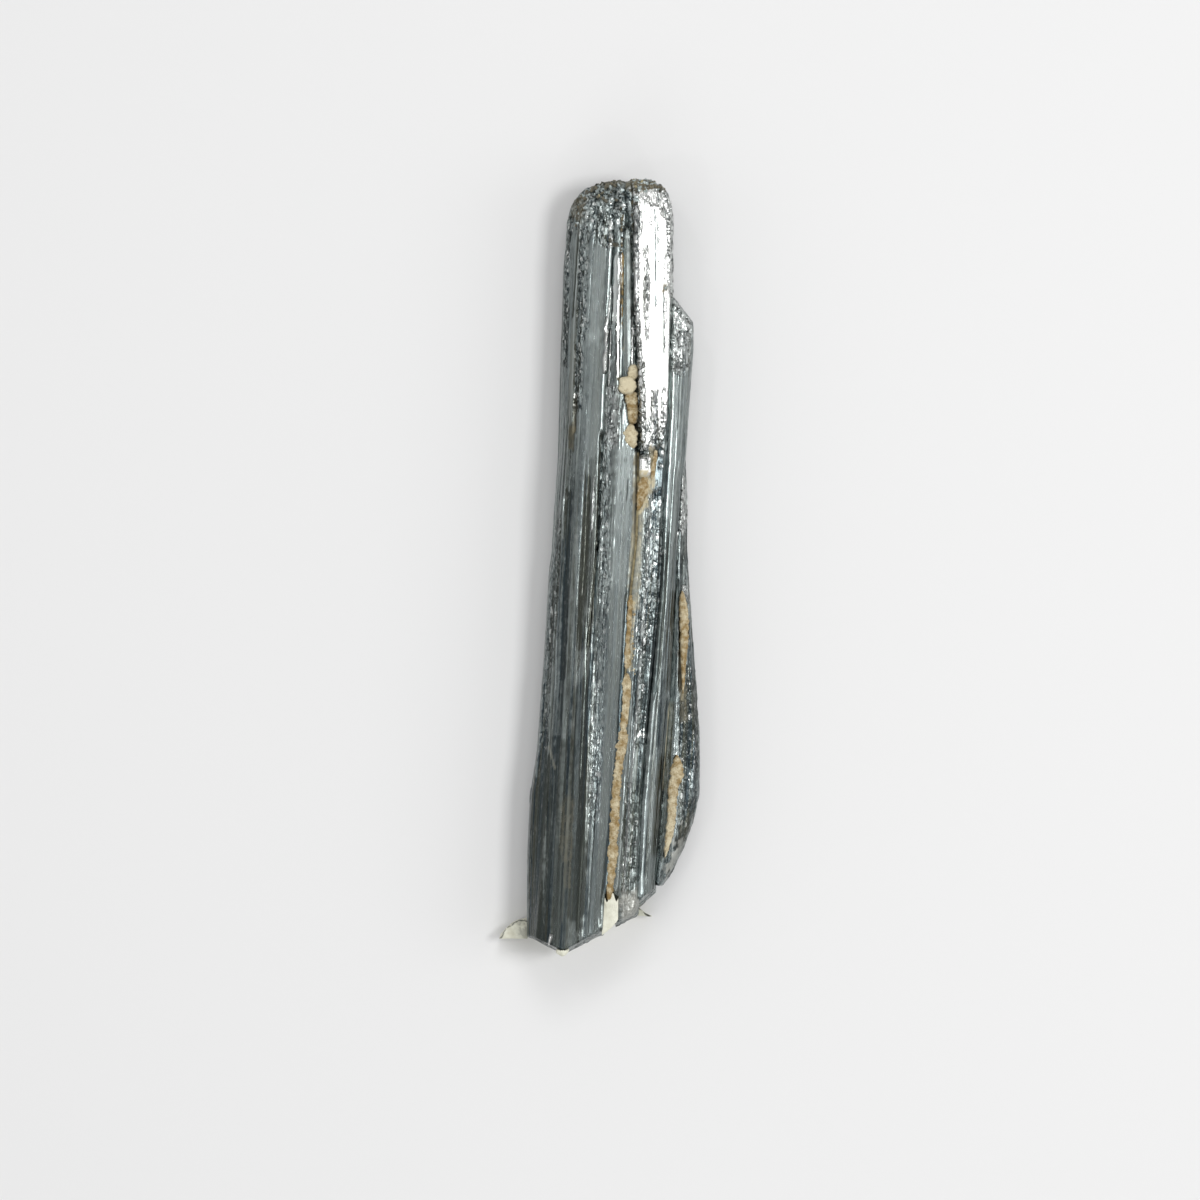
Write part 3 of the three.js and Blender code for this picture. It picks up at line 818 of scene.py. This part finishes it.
def ribbon_tree(name, stops):
    """Geometry Nodes tree of a lumpy ribbon of clay. It follows stops of (y, x, half width)."""
    net, entry = new_tree(name, RIBBON_INPUTS)
    ys, xs, halves = zip(*stops)
    first, reach = ys[0], ys[-1] - ys[0]
    left = min(xs) - 0.01
    run = max(xs) + 0.01 - left
    widest = max(halves)
    grid, around, along = net.grid(RIBBON_COLUMNS, entry["Rows"])
    tint = entry["Tint Low"] + (entry["Tint High"] - entry["Tint Low"]) * along
    grid = net.store(grid, "tint", tint)

    def follow(values):
        return net.curve(along, *(((y - first) / reach, value) for y, value in zip(ys, values)))

    # a boxy cross-section, which tapers at the ends, with a ragged brink and a sagging underside
    centre = follow([(x - left) / run for x in xs]) * run + left
    half = follow([width / widest for width in halves]) * widest
    distance = along * reach
    taper = (1 - (along * 2 - 1).abs().power(entry["Bluntness"])).most(0.0).power(0.5)
    angle = around * (-2 * math.pi)
    brink = net.noise(net.vector(around * 1.6, distance, entry["Seed"]), scale=1.9, detail=4)
    across = net.math("COSINE", angle).bent(0.8) * half * taper * (0.5 + brink)
    middle = (entry["Low"] + entry["High"]) * 0.5
    sag = net.noise(net.vector(0.0, distance, entry["Seed"] + 5), scale=0.9, detail=4)
    rise = net.math("SINE", angle).bent(0.4)
    rise = rise.most(0.0) * (0.8 + sag * 0.4) + rise.least(0.0) * (sag * 3.4 - 0.9)
    rise = rise * (entry["High"] - middle) * taper
    point = net.vector(centre + across, distance + first, middle + rise)
    mesh = net.send(grid, "SetPosition", Position=point * MM + FOOT)
    mesh = net.send(mesh, "MergeByDistance", Distance=JOIN)
    # coarse and fine lumps
    shifted = in_mm(net.place()) + net.vector(entry["Seed"], 0.0, 0.0)
    lumps = (net.noise(shifted, scale=1.5, detail=2) - 0.5) * 2
    lumps = lumps + (net.noise(shifted, scale=4.5, detail=4, roughness=0.7) - 0.5) * 2
    normal = net.node("GeometryNodeInputNormal")["Normal"]
    mesh = net.send(mesh, "SetPosition", Offset=normal * (lumps * entry["Lump"] * MM))
    return finish_tree(net, mesh, entry["Material"])


# Ribbons of clay: their stops as (y, x, half width), how low and how high they reach, how blunt
# their ends are, how lumpy and how pale they are, and the plain solid that they replace.
RIBBONS = {
    "clay_seam_lower": {
        "stops": [
            (8.2, 1.25, 0.35), (11.3, 1.5, 0.6), (13.7, 1.7, 0.7), (15.3, 1.8, 0.9),
            (16.4, 1.8, 0.6), (18, 1.92, 0.72), (20.6, 2.05, 0.74), (23.3, 2.2, 0.7),
            (26, 2.45, 0.7), (28.1, 2.7, 0.7), (29.4, 2.9, 0.85), (30.5, 3.1, 0.95),
            (31.6, 3.2, 0.75), (32.4, 3.2, 0.5), (34, 3.4, 0.62), (36.6, 3.7, 0.62),
            (38, 3.75, 0.72), (39.7, 3.75, 0.66), (40.4, 3.75, 0.5),
        ],
        "z": (11.5, 13.5), "blunt": 40, "lump": 0.2, "tint": (0.25, 0.6),
        "replaces": ["ochre_seam_lower"],
    },
    "clay_seam_middle": {
        "stops": [
            (40.9, 3.8, 0.5), (42.3, 3.8, 0.55), (44.9, 3.9, 0.35), (47.6, 4.1, 0.36),
            (50.2, 4.25, 0.42), (51.5, 4.3, 0.25),
        ],
        "z": (12, 13.45), "blunt": 20, "lump": 0.2, "tint": (0.45, 0.2),
    },
    "clay_seam_upper": {
        "stops": [
            (75.4, 4.5, 0.7), (76.4, 4.6, 0.8), (78, 4.5, 0.85), (79.4, 4.4, 0.95),
            (80.3, 4.3, 0.9),
        ],
        "z": (10.4, 13.35), "blunt": 8, "lump": 0.2, "tint": (0.3, 0.4),
        "replaces": ["ochre_seam_upper"],
    },
    "clay_lump": {
        "stops": [
            (71.9, 4.7, 0.3), (72.7, 4.55, 0.75), (74, 4.35, 0.95), (75.2, 4.3, 0.8),
            (75.6, 4.35, 0.5),
        ],
        "z": (12, 13.75), "blunt": 2.5, "lump": 0.05, "tint": (0.8, 0.95),
    },
    "clay_chip": {
        "stops": [(79.7, 3.8, 1.0), (80.5, 3.8, 1.25), (82.25, 3.85, 1.15)],
        "z": (11.8, 14.1), "blunt": 5, "lump": 0.07, "tint": (1.1, 1.6),
        "replaces": ["ochre_chip"],
    },
    "clay_chip_behind": {
        "stops": [(81.6, 4.6, 0.7), (83, 4.65, 0.75), (84, 4.7, 0.55)],
        "z": (11.5, 13.5), "blunt": 3, "lump": 0.08, "tint": (0.9, 1.0),
    },
    "clay_patch": {
        "stops": [
            (63.3, 5.4, 0.3), (64.6, 5.7, 0.55), (66, 6.0, 0.75), (67.2, 6.1, 0.85),
            (68.2, 6.3, 0.7),
        ],
        "z": (12.8, 13.6), "blunt": 2.5, "lump": 0.2, "tint": (0.1, 0.35),
        "replaces": ["ochre_patch"],
    },
    "clay_patch_edge": {
        "stops": [(67.6, 7.35, 0.2), (69, 7.5, 0.32), (71, 7.8, 0.34), (71.9, 7.9, 0.25)],
        "z": (12.9, 13.6), "blunt": 6, "lump": 0.14, "tint": (0.4, 0.6),
    },
    "clay_bed": {
        "stops": [
            (8.6, 1.2, 0.4), (20, 2.1, 0.45), (32, 3.1, 0.45), (41, 3.65, 0.45),
            (51, 4.2, 0.42), (60, 5.15, 0.4), (66, 5.3, 0.4), (71.6, 5.35, 0.4),
        ],
        "z": (11.4, 13.0), "blunt": 40, "lump": 0.12, "tint": (-0.7, -0.9),
    },
    "clay_side_upper": {
        "stops": [
            (37.4, 11.75, 0.15), (39.7, 11.8, 0.26), (42.3, 11.85, 0.4), (44.9, 11.95, 0.56),
            (47.6, 11.95, 0.62), (50, 11.8, 0.6), (51.3, 11.7, 0.45), (52, 11.65, 0.25),
        ],
        "z": (8.4, 10.3), "blunt": 6, "lump": 0.14, "tint": (0.3, 0.4),
        "replaces": ["ochre_side_upper"],
    },
    "clay_side_lower": {
        "stops": [
            (14.0, 9.2, 0.15), (15.3, 9.42, 0.35), (17.4, 9.8, 0.6), (19.3, 10.1, 0.6),
            (22, 10.25, 0.66), (24.4, 10.45, 0.72), (25.4, 10.85, 0.95), (26.8, 10.95, 0.95),
            (28.1, 10.95, 0.6), (28.8, 10.9, 0.3),
        ],
        "z": (8.6, 10.4), "blunt": 6, "lump": 0.14, "tint": (0.8, 0.3),
        "replaces": ["ochre_side_lower"],
    },
    "clay_line_upper": {
        "stops": [
            (82.6, 2.95, 0.1), (90, 3.1, 0.13), (96, 3.2, 0.12), (99, 3.2, 0.2),
            (101, 3.0, 0.3), (102.4, 3.1, 0.15),
        ],
        "z": (11.6, 13.1), "blunt": 30, "lump": 0.1, "tint": (0.25, 0.1),
    },
}


class PackClay(bpy.types.Operator):
    """Pack the ribbons and lumps of ochre clay into the seams"""

    bl_idname = "stibnite.pack_clay"
    bl_label = "Pack the clay"

    def execute(self, context):
        finish = clay_material(context.scene.stibnite_finishes)
        for number, (name, form) in enumerate(RIBBONS.items()):
            stops = form["stops"]
            low, high = form["z"]
            low_tint, high_tint = form["tint"]
            piece = grow(name, ribbon_tree(name + "_growth", stops), {
                "Low": float(low),
                "High": float(high),
                "Bluntness": float(form["blunt"]),
                "Rows": max(LEAST_ROWS, round((stops[-1][0] - stops[0][0]) / ROW_LENGTH)),
                "Lump": form["lump"],
                "Tint Low": low_tint,
                "Tint High": high_tint,
                "Seed": RIBBON_SEEDS * number,
                "Material": finish,
            })
            attach(piece, "ochre", *form.get("replaces", []))
        return {"FINISHED"}


# ---------------------------------------------------------------- grains

GRAIN_INPUTS = {
    "Object": ["Solid"],
    "Float": ["Density", "Smallest", "Largest", "Flatness"],
    "Int": ["Seed"],
    "Material": ["Material"],
}


def grain_tree(name, streaks, group):
    """Geometry Nodes tree that scatters small grains over a solid, thickest in its streaks."""
    net, entry = new_tree(name, GRAIN_INPUTS)
    scattered = net.node("GeometryNodeDistributePointsOnFaces", inputs={
        "Mesh": net.solid(entry["Solid"]), "Density": entry["Density"], "Seed": entry["Seed"],
    })["Points"]
    point = in_mm(net.place())
    front = point.parts[2].step(8.0, 11.0)
    here = marked(net, point, streaks, group)["grains"] * front

    def random(low, high, step):
        inputs = {2: low, 3: high, "Seed": entry["Seed"] + step}
        return net.node("FunctionNodeRandomValue", {"data_type": "FLOAT"}, inputs)[1]

    spared = net.math("GREATER_THAN", random(0.0, 1.0, 1), here)
    points = net.node("GeometryNodeDeleteGeometry", {"domain": "POINT"}, {
        "Geometry": scattered, "Selection": spared,
    })["Geometry"]
    lump = net.node("GeometryNodeMeshIcoSphere", inputs={"Radius": 1.0, "Subdivisions": 2})["Mesh"]
    around = net.node("ShaderNodeTexNoise", inputs={"Vector": net.place(), "Scale": 1.3})["Color"]
    lump = net.send(lump, "SetPosition", Offset=(around - Vector((0.5, 0.5, 0.5))) * 1.2)
    size = random(entry["Smallest"], entry["Largest"], 2) * MM
    grains = net.node("GeometryNodeInstanceOnPoints", inputs={
        "Points": points,
        "Instance": lump,
        "Rotation": net.vector(random(-0.7, 0.7, 3), random(-0.7, 0.7, 4), random(0.0, 6.28, 5)),
        "Scale": net.vector(size, size * random(0.5, 1.0, 6), size * entry["Flatness"]),
    })["Instances"]
    grains = net.store(grains, "tint", random(0.0, 1.0, 7), domain="INSTANCE")
    return finish_tree(net, grains, entry["Material"], smooth=False)


# Grains: the solid that they lie on, their finish, how many for each square millimetre, how high
# for their width, how large in millimetres, and where.
GRAINS = {
    "crust_left": {
        "solid": "left_crystal", "finish": "crust", "density": 16, "flat": 0.8,
        "size": (0.1, 0.38),
        "streaks": [
            streak((-3.0, 108.4), (-1.2, 109.4), 0.9, grains=1),
            streak((-3.9, 107.5), (-3.4, 104.5), 0.6, grains=0.6),
            streak((-0.6, 110), (3.2, 109.8), 0.7, grains=1),
            streak((-2, 107), (2.4, 107), 1.8, grains=0.12),
            streak((3.0, 109.5), (3.4, 100), 0.3, grains=0.7),
            streak((1.6, 101.6), (2.8, 100.4), 0.4, grains=0.5),
        ],
    },
    "crust_right": {
        "solid": "right_crystal", "finish": "crust", "density": 16, "flat": 0.8,
        "size": (0.1, 0.38),
        "streaks": [
            streak((3.4, 109.7), (6.6, 109.3), 0.75, grains=1),
            streak((4.3, 108), (4.5, 102.5), 0.3, grains=0.9),
            streak((6.6, 109.6), (9.0, 108.6), 0.35, grains=0.5),
            streak((4.0, 108.6), (5.0, 106.8), 0.5, grains=0.5),
            streak((9.1, 95), (9.15, 94.6), 0.35, grains=0.8),
        ],
    },
    "clay_grains": {
        "solid": "right_crystal", "finish": "clay", "density": 7, "flat": 0.6,
        "size": (0.06, 0.17),
        "streaks": [
            streak((4.8, 51), (4.6, 40), 0.25, grains=0.7),
            streak((5.2, 63.5), (6.8, 68.5), 1.0, grains=0.3),
            streak((4.9, 82), (5.0, 72), 0.4, grains=0.4),
        ],
    },
}


class ScatterGrains(bpy.types.Operator):
    """Scatter crust and clay grains over the crowns and along the seams"""

    bl_idname = "stibnite.scatter_grains"
    bl_label = "Scatter the grains"

    def execute(self, context):
        finishes = context.scene.stibnite_finishes
        made = {"crust": crust_material(finishes), "clay": clay_material(finishes)}
        group = streak_tree()
        for seed, (name, form) in enumerate(GRAINS.items()):
            small, large = form["size"]
            piece = grow(name, grain_tree(name + "_growth", form["streaks"], group), {
                "Solid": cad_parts[form["solid"]],
                "Density": form["density"] / MM**2,
                "Smallest": small,
                "Largest": large,
                "Flatness": form["flat"],
                "Seed": seed,
                "Material": made[form["finish"]],
            })
            attach(piece, "ochre")
        return {"FINISHED"}


# ---------------------------------------------------------------- calcite

CALCITE_INPUTS = {"Object": ["Solid"], "Float": ["Rough", "Rise"], "Material": ["Material"]}
CALCITE_JOIN = 1e-6  # as JOIN, for the solid's own points
CALCITE_STREAKS = [
    streak((-14.4, 2.2), (-13.4, 3.9), 0.1, rim=1),
    streak((-13.4, 3.9), (-12.0, 4.75), 0.1, rim=1),
    streak((-12.0, 4.75), (-10.2, 5.05), 0.1, rim=1),
    streak((-11.0, 3.9), (-10.2, 3.2), 0.7, rim=0.35),
    streak((5.2, 6.9), (7.4, 5.3), 0.12, rim=1),
    streak((5.3, 5.4), (6.6, 5.3), 0.12, rim=0.6),
]


def calcite_tree(name, group):
    """Geometry Nodes tree that splits up a plain solid finely and makes it uneven."""
    net, entry = new_tree(name, CALCITE_INPUTS)
    mesh = net.send(net.solid(entry["Solid"]), "MergeByDistance", Distance=CALCITE_JOIN)
    mesh = net.node("GeometryNodeSubdivideMesh", inputs={"Mesh": mesh, "Level": 4})["Mesh"]
    point = in_mm(net.place())
    x, y, z = point.parts
    # the rims lie along the fins' upper edges
    rim = marked(net, point, CALCITE_STREAKS, group)["rim"] * (z + y * 0.42).step(4.6, 5.0)
    mesh = net.store(mesh, "rim", rim)
    normal = net.node("GeometryNodeInputNormal")["Normal"]
    lumps = (net.noise(point, scale=0.9, detail=3) - 0.5) * 2
    # the tongue widens upwards and ends in a jagged edge
    top = z.step(9.0, 11.8)
    jagged = (net.noise(net.vector(x * 2.2, 0.0, 0.0), scale=1, detail=0) - 0.4) * y.step(6, 8) * 4
    lift = net.vector((x - 1.3) * 0.4, jagged, 1.0) * (top * entry["Rise"])
    offset = (normal * (lumps * entry["Rough"]) + lift) * MM
    mesh = net.send(mesh, "SetPosition", Offset=offset)
    return finish_tree(net, mesh, entry["Material"], smooth=False)


class BreakCalcite(bpy.types.Operator):
    """Make the calcite at the foot: the lens with its fins, and the crumb"""

    bl_idname = "stibnite.break_calcite"
    bl_label = "Break the calcite"

    def execute(self, context):
        finish = calcite_material(context.scene.stibnite_finishes)
        tree = calcite_tree("calcite_growth", streak_tree())
        for node, rough, rise in (("calcite_lens", 0.16, 1.2), ("calcite_crumb", 0.3, 0.0)):
            piece = grow(node + "_surface", tree, {
                "Solid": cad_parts[node],
                "Rough": rough,
                "Rise": rise,
                "Material": finish,
            })
            attach(piece, "calcite", node)
        return {"FINISHED"}


# ---------------------------------------------------------------- finishes


def new_material(name):
    material = bpy.data.materials.new(name)
    material.use_nodes = True
    material.node_tree.nodes.clear()
    return material, Net(material.node_tree)


def finish_surface(net, **sockets):
    """Ends a material: the shader's own sockets by name, with _ for a space."""
    shader = net.node("ShaderNodeBsdfPrincipled", inputs=spaced(sockets))
    net.node("ShaderNodeOutputMaterial", inputs={"Surface": shader["BSDF"]})


def bump(net, relief):
    """A normal bent by a relief in millimetres."""
    inputs = {"Strength": 1.0, "Distance": MM, "Height": relief}
    return net.node("ShaderNodeBump", inputs=inputs)["Normal"]


def object_point(net):
    """The place on the object, in millimetres."""
    return net.node("ShaderNodeTexCoord")["Object"] * (1 / MM)


def stibnite_material(finishes):
    """Lead-grey metallic lustre: lamellae and fine lines, lighter and darker at random, run along
    the prism, chips glitter, with painted glints, the marks lay on painted light, shade and
    highlights, and brown film, grey crust or clay lies on some of it."""
    material, net = new_material("stibnite")
    marks = "tone polish etch plate stain pale calm ochre lamella stria flake"
    tone, polish, etch, plate, stain, pale, calm, ochre, lamella, stria, flake = (
        net.attribute(mark) for mark in marks.split()
    )
    # where the polish mark is below 0 the metal is darker and loses its painted highlight
    dull = (0 - polish).clamp()
    polish, etch, stain, pale, calm = (mark.clamp() for mark in (polish, etch, stain, pale, calm))
    grain = net.attribute("grain", "Vector")

    def along(width, run):
        """Cells or noise so wide and so long, in millimetres."""
        return grain * Vector((1 / width, 1 / run, 1 / width))

    # lines along the prism, and mottle, grit and small tilted flakes where it is chipped
    (band, hue, _), _ = net.cells(along(0.5, 30))
    (line, _, _), _ = net.cells(along(0.17, 17))
    lines = net.noise(along(0.2, 22), detail=4, roughness=0.65)
    mottle = net.noise(along(0.5, 1.1), detail=4, roughness=0.7)
    grit = net.noise(grain, scale=9, detail=3, roughness=0.7)
    facet, gleam = facets(net, along(0.34, 0.62), 0.0, 0.24)
    speck, spark = facets(net, along(0.16, 0.26), 0.0, 0.09)
    # painted glints: a few chipped facets mixed towards near white
    glint = (gleam.step(0.9, 0.94) + spark.step(0.93, 0.96) * 0.8) * etch
    # creases, sunk a little, with painted shade in them
    crease = net.noise(along(0.8, 1.5), detail=2, roughness=0.6) - 0.5
    crease = crease.abs().step(0.055, 0.015) * etch
    scratch = lines.step(0.36, 0.3) * plate
    uneven = 1 - calm * 0.9

    # the share of light metal in dark metal, with painted light and shade from the tone mark and
    # painted shade in the creases
    share = (lamella - 0.5) * 0.22 + (stria - 0.5) * 0.14 + (band - 0.5) * 0.28
    share = share + (line - 0.5) * 0.24 + (lines - 0.5) * 0.45
    share = share * uneven + 0.36 + tone + (mottle - 0.5) * 0.3 * (1 - calm * 0.6)
    share = share + ((flake - 0.5) * 0.3 + (gleam - 0.5) * 0.32 + (spark - 0.5) * 0.25) * etch
    share = share - crease * 0.65 - dull - scratch * 0.3
    base = net.mix(hue, finishes.stibnite_dark, finishes.stibnite_olive)
    base = net.mix(share.clamp(), base, finishes.stibnite_light)
    # painted highlight: the raised plate, the polish mark and the glints mix the metal towards
    # near white
    bright = plate * (0.9 + (line - 0.5) * 0.25 - etch * 0.1 - dull * 3 - scratch * 0.7)
    bright = bright.most(polish * (1 - etch * 0.2)).most(glint * 0.5) * (1 - crease * 0.85)
    base = net.mix(bright.clamp(), base, finishes.stibnite_highlight)

    # what lies on the metal
    film = (stain * (mottle.step(0.35, 0.6) * 0.8 + grit * 0.6)).clamp()
    base = net.mix(film, base, finishes.film)
    crust = (pale * (0.6 + grit * 0.6)).clamp()
    base = net.mix(crust, base, finishes.crust)
    clay = (ochre * (mottle.step(0.34, 0.6) * 0.9 + grit * 0.5)).clamp()
    base = net.mix(clay, base, net.mix(grit, finishes.clay_olive, finishes.clay_pale))
    metallic = (1 - film * 0.85 - crust * 0.8 - clay).clamp()
    roughness = 0.27 + (line - 0.5) * 0.12 + etch * 0.04 - bright * 0.05
    roughness = roughness + film * 0.3 + crust * 0.15 + clay * 0.4

    relief = (lines - 0.5) * 0.016 * uneven + (line - 0.5) * 0.008 * uneven
    relief = relief + (facet + speck) * (etch * 0.75 + 0.05) - crease * 0.05
    relief = relief - grain.parts[0] * 0.2 * polish * (1 - etch)
    finish_surface(
        net, Base_Color=base, Metallic=metallic, Roughness=roughness.clamp(),
        Normal=bump(net, relief),
    )
    return material


def clay_material(finishes):
    """Dry ochre clay: patches of deep and pale ochre with darker specks, and olive where the tint
    is below 0."""
    material, net = new_material("clay")
    tint = net.attribute("tint")
    point = object_point(net)
    patches = net.noise(point, scale=1.1, detail=5, roughness=0.7)
    grit = net.noise(point, scale=5, detail=3, roughness=0.75)
    share = (tint + (patches - 0.5) * 3.8 + (grit - 0.5) * 1.2).clamp()
    base = net.mix(share, finishes.clay_deep, finishes.clay_pale)
    specks = grit.step(0.4, 0.33) * (1 - tint * 0.6)
    base = net.mix(specks * 0.7, base, finishes.film)
    olive = net.mix(patches.step(0.4, 0.6), finishes.film, finishes.clay_olive)
    base = net.mix((0 - tint).clamp(), base, olive)
    relief = grit * 0.22 + patches * 0.15
    finish_surface(net, Base_Color=base, Roughness=0.85, Normal=bump(net, relief))
    return material


def crust_material(finishes):
    """Dirt on the crowns: grains from dark to brown, some with a metallic gleam, a few olive."""
    material, net = new_material("crust")
    tint = net.attribute("tint")
    base = net.mix(tint, finishes.stibnite_dark, finishes.dirt)
    base = net.mix(tint.step(0.97, 0.98), base, finishes.clay_olive)
    base = net.mix(tint.step(0.3, 0.2), base, finishes.stibnite_light)
    finish_surface(net, Base_Color=base, Roughness=0.4, Metallic=tint.step(0.5, 0.35))
    return material


def calcite_material(finishes):
    """Pale calcite with a dark rim on its thin edges."""
    material, net = new_material("calcite")
    point = object_point(net)
    clouds = net.noise(point, scale=0.8, detail=3)
    base = net.mix(clouds.step(0.3, 0.7), finishes.calcite_grey, finishes.calcite)
    base = net.mix(net.attribute("rim").clamp(), base, finishes.stibnite_olive)
    relief = net.noise(point, scale=5, detail=3) * 0.06
    finish_surface(net, Base_Color=base, Roughness=0.45, Normal=bump(net, relief))
    return material


def floor_material(studio):
    material, net = new_material("floor")
    finish_surface(net, Base_Color=(*studio.floor, 1), Roughness=0.8)
    return material


# ---------------------------------------------------------------- stage

VIEW_WIDTH = 170.3  # what the camera takes in, in millimetres, at VIEW_LEVEL above the floor
VIEW_LEVEL = 9.0
VIEW_CENTRE = (0.0, 50.67)
LENS, SENSOR = 180, 36
FLOOR_HALF = 1.5  # in metres

# Soft lights: azimuth from +X towards +Y and angle from straight up, in degrees, distance and
# size in metres, and power as a share of the key light.
LIGHTS = {
    "key": (4, 24, 0.9, 0.2, 1.0),
    "left_fill": (185, 50, 0.9, 0.5, 0.12),
    "right_fill": (-5, 54, 0.9, 0.4, 0.35),
    "crown_fill": (84, 33, 0.9, 0.3, 0.52),
    "foot_fill": (262, 50, 0.9, 0.4, 0.15),
    "glint_back": (125, 30, 0.9, 0.06, 0.08),
    "glint_left": (215, 27, 0.9, 0.06, 0.08),
    "glint_foot": (300, 34, 0.9, 0.06, 0.08),
}


class SetStage(bpy.types.Operator):
    """Set the pale floor, the soft lights and the camera that looks straight down"""

    bl_idname = "stibnite.set_stage"
    bl_label = "Set the stage"

    def execute(self, context):
        scene = context.scene
        studio = scene.stibnite_studio
        corners = [
            (x * FLOOR_HALF, y * FLOOR_HALF, CAD_LOW.z)
            for x, y in ((-1, -1), (1, -1), (1, 1), (-1, 1))
        ]
        mesh = bpy.data.meshes.new("floor")
        mesh.from_pydata(corners, [], [(0, 1, 2, 3)])
        mesh.materials.append(floor_material(studio))
        floor = bpy.data.objects.new("floor", mesh)
        scene.collection.objects.link(floor)

        world = bpy.data.worlds.new("studio")
        world.use_nodes = True
        background = world.node_tree.nodes["Background"]
        background.inputs["Color"].default_value = (1, 1, 1, 1)
        background.inputs["Strength"].default_value = studio.sky
        scene.world = world
        for name, (azimuth, lean, distance, size, share) in LIGHTS.items():
            add_light(name, azimuth, lean, distance, size, share * studio.key_watts)

        camera = bpy.data.objects.new("camera", bpy.data.cameras.new("camera"))
        camera.data.lens = LENS
        camera.data.sensor_width = SENSOR
        camera.data.clip_end = 20
        distance = VIEW_WIDTH * MM * LENS / SENSOR
        camera.location = at(*VIEW_CENTRE, VIEW_LEVEL) + Vector((0, 0, distance))
        scene.collection.objects.link(camera)
        scene.camera = camera
        scene.view_settings.view_transform = "Standard"
        return {"FINISHED"}


def add_light(name, azimuth, lean, distance, size, watts):
    """A square soft box aimed at the middle of the group."""
    data = bpy.data.lights.new(name, "AREA")
    data.size = size
    data.energy = watts
    light = bpy.data.objects.new(name, data)
    turn, tip = math.radians(azimuth), math.radians(lean)
    away = Vector((math.cos(turn) * math.sin(tip), math.sin(turn) * math.sin(tip), math.cos(tip)))
    light.location = away * distance
    light.rotation_mode = "QUATERNION"
    light.rotation_quaternion = away.to_track_quat("Z", "Y")
    light.visible_camera = False
    bpy.context.scene.collection.objects.link(light)


# ---------------------------------------------------------------- add-on


class StibnitePanel(bpy.types.Panel):
    """Steps and settings of the stibnite group"""

    bl_idname = "VIEW3D_PT_stibnite"
    bl_label = "Stibnite group"
    bl_space_type = "VIEW_3D"
    bl_region_type = "UI"
    bl_category = "Stibnite"

    def draw(self, context):
        for step in STEPS:
            self.layout.operator(step.bl_idname)
        for owner, group in GROUPS.items():
            box = self.layout.box()
            for name in group.__annotations__:
                box.prop(getattr(context.scene, owner), name)


STEPS = (SetStage, GrowPrisms, PackClay, ScatterGrains, BreakCalcite)
GROUPS = {
    "stibnite_sizes": PrismSizes,
    "stibnite_finishes": Finishes,
    "stibnite_studio": Studio,
}
CLASSES = (*GROUPS.values(), *STEPS, StibnitePanel)


def register():
    for item in CLASSES:
        bpy.utils.register_class(item)
    for name, group in GROUPS.items():
        setattr(bpy.types.Scene, name, bpy.props.PointerProperty(type=group))


def unregister():
    for name in GROUPS:
        delattr(bpy.types.Scene, name)
    for item in reversed(CLASSES):
        bpy.utils.unregister_class(item)


def main():
    register()
    bpy.ops.stibnite.set_stage()
    bpy.ops.stibnite.grow_prisms()
    bpy.ops.stibnite.pack_clay()
    bpy.ops.stibnite.scatter_grains()
    bpy.ops.stibnite.break_calcite()


if __name__ == "__main__":
    main()
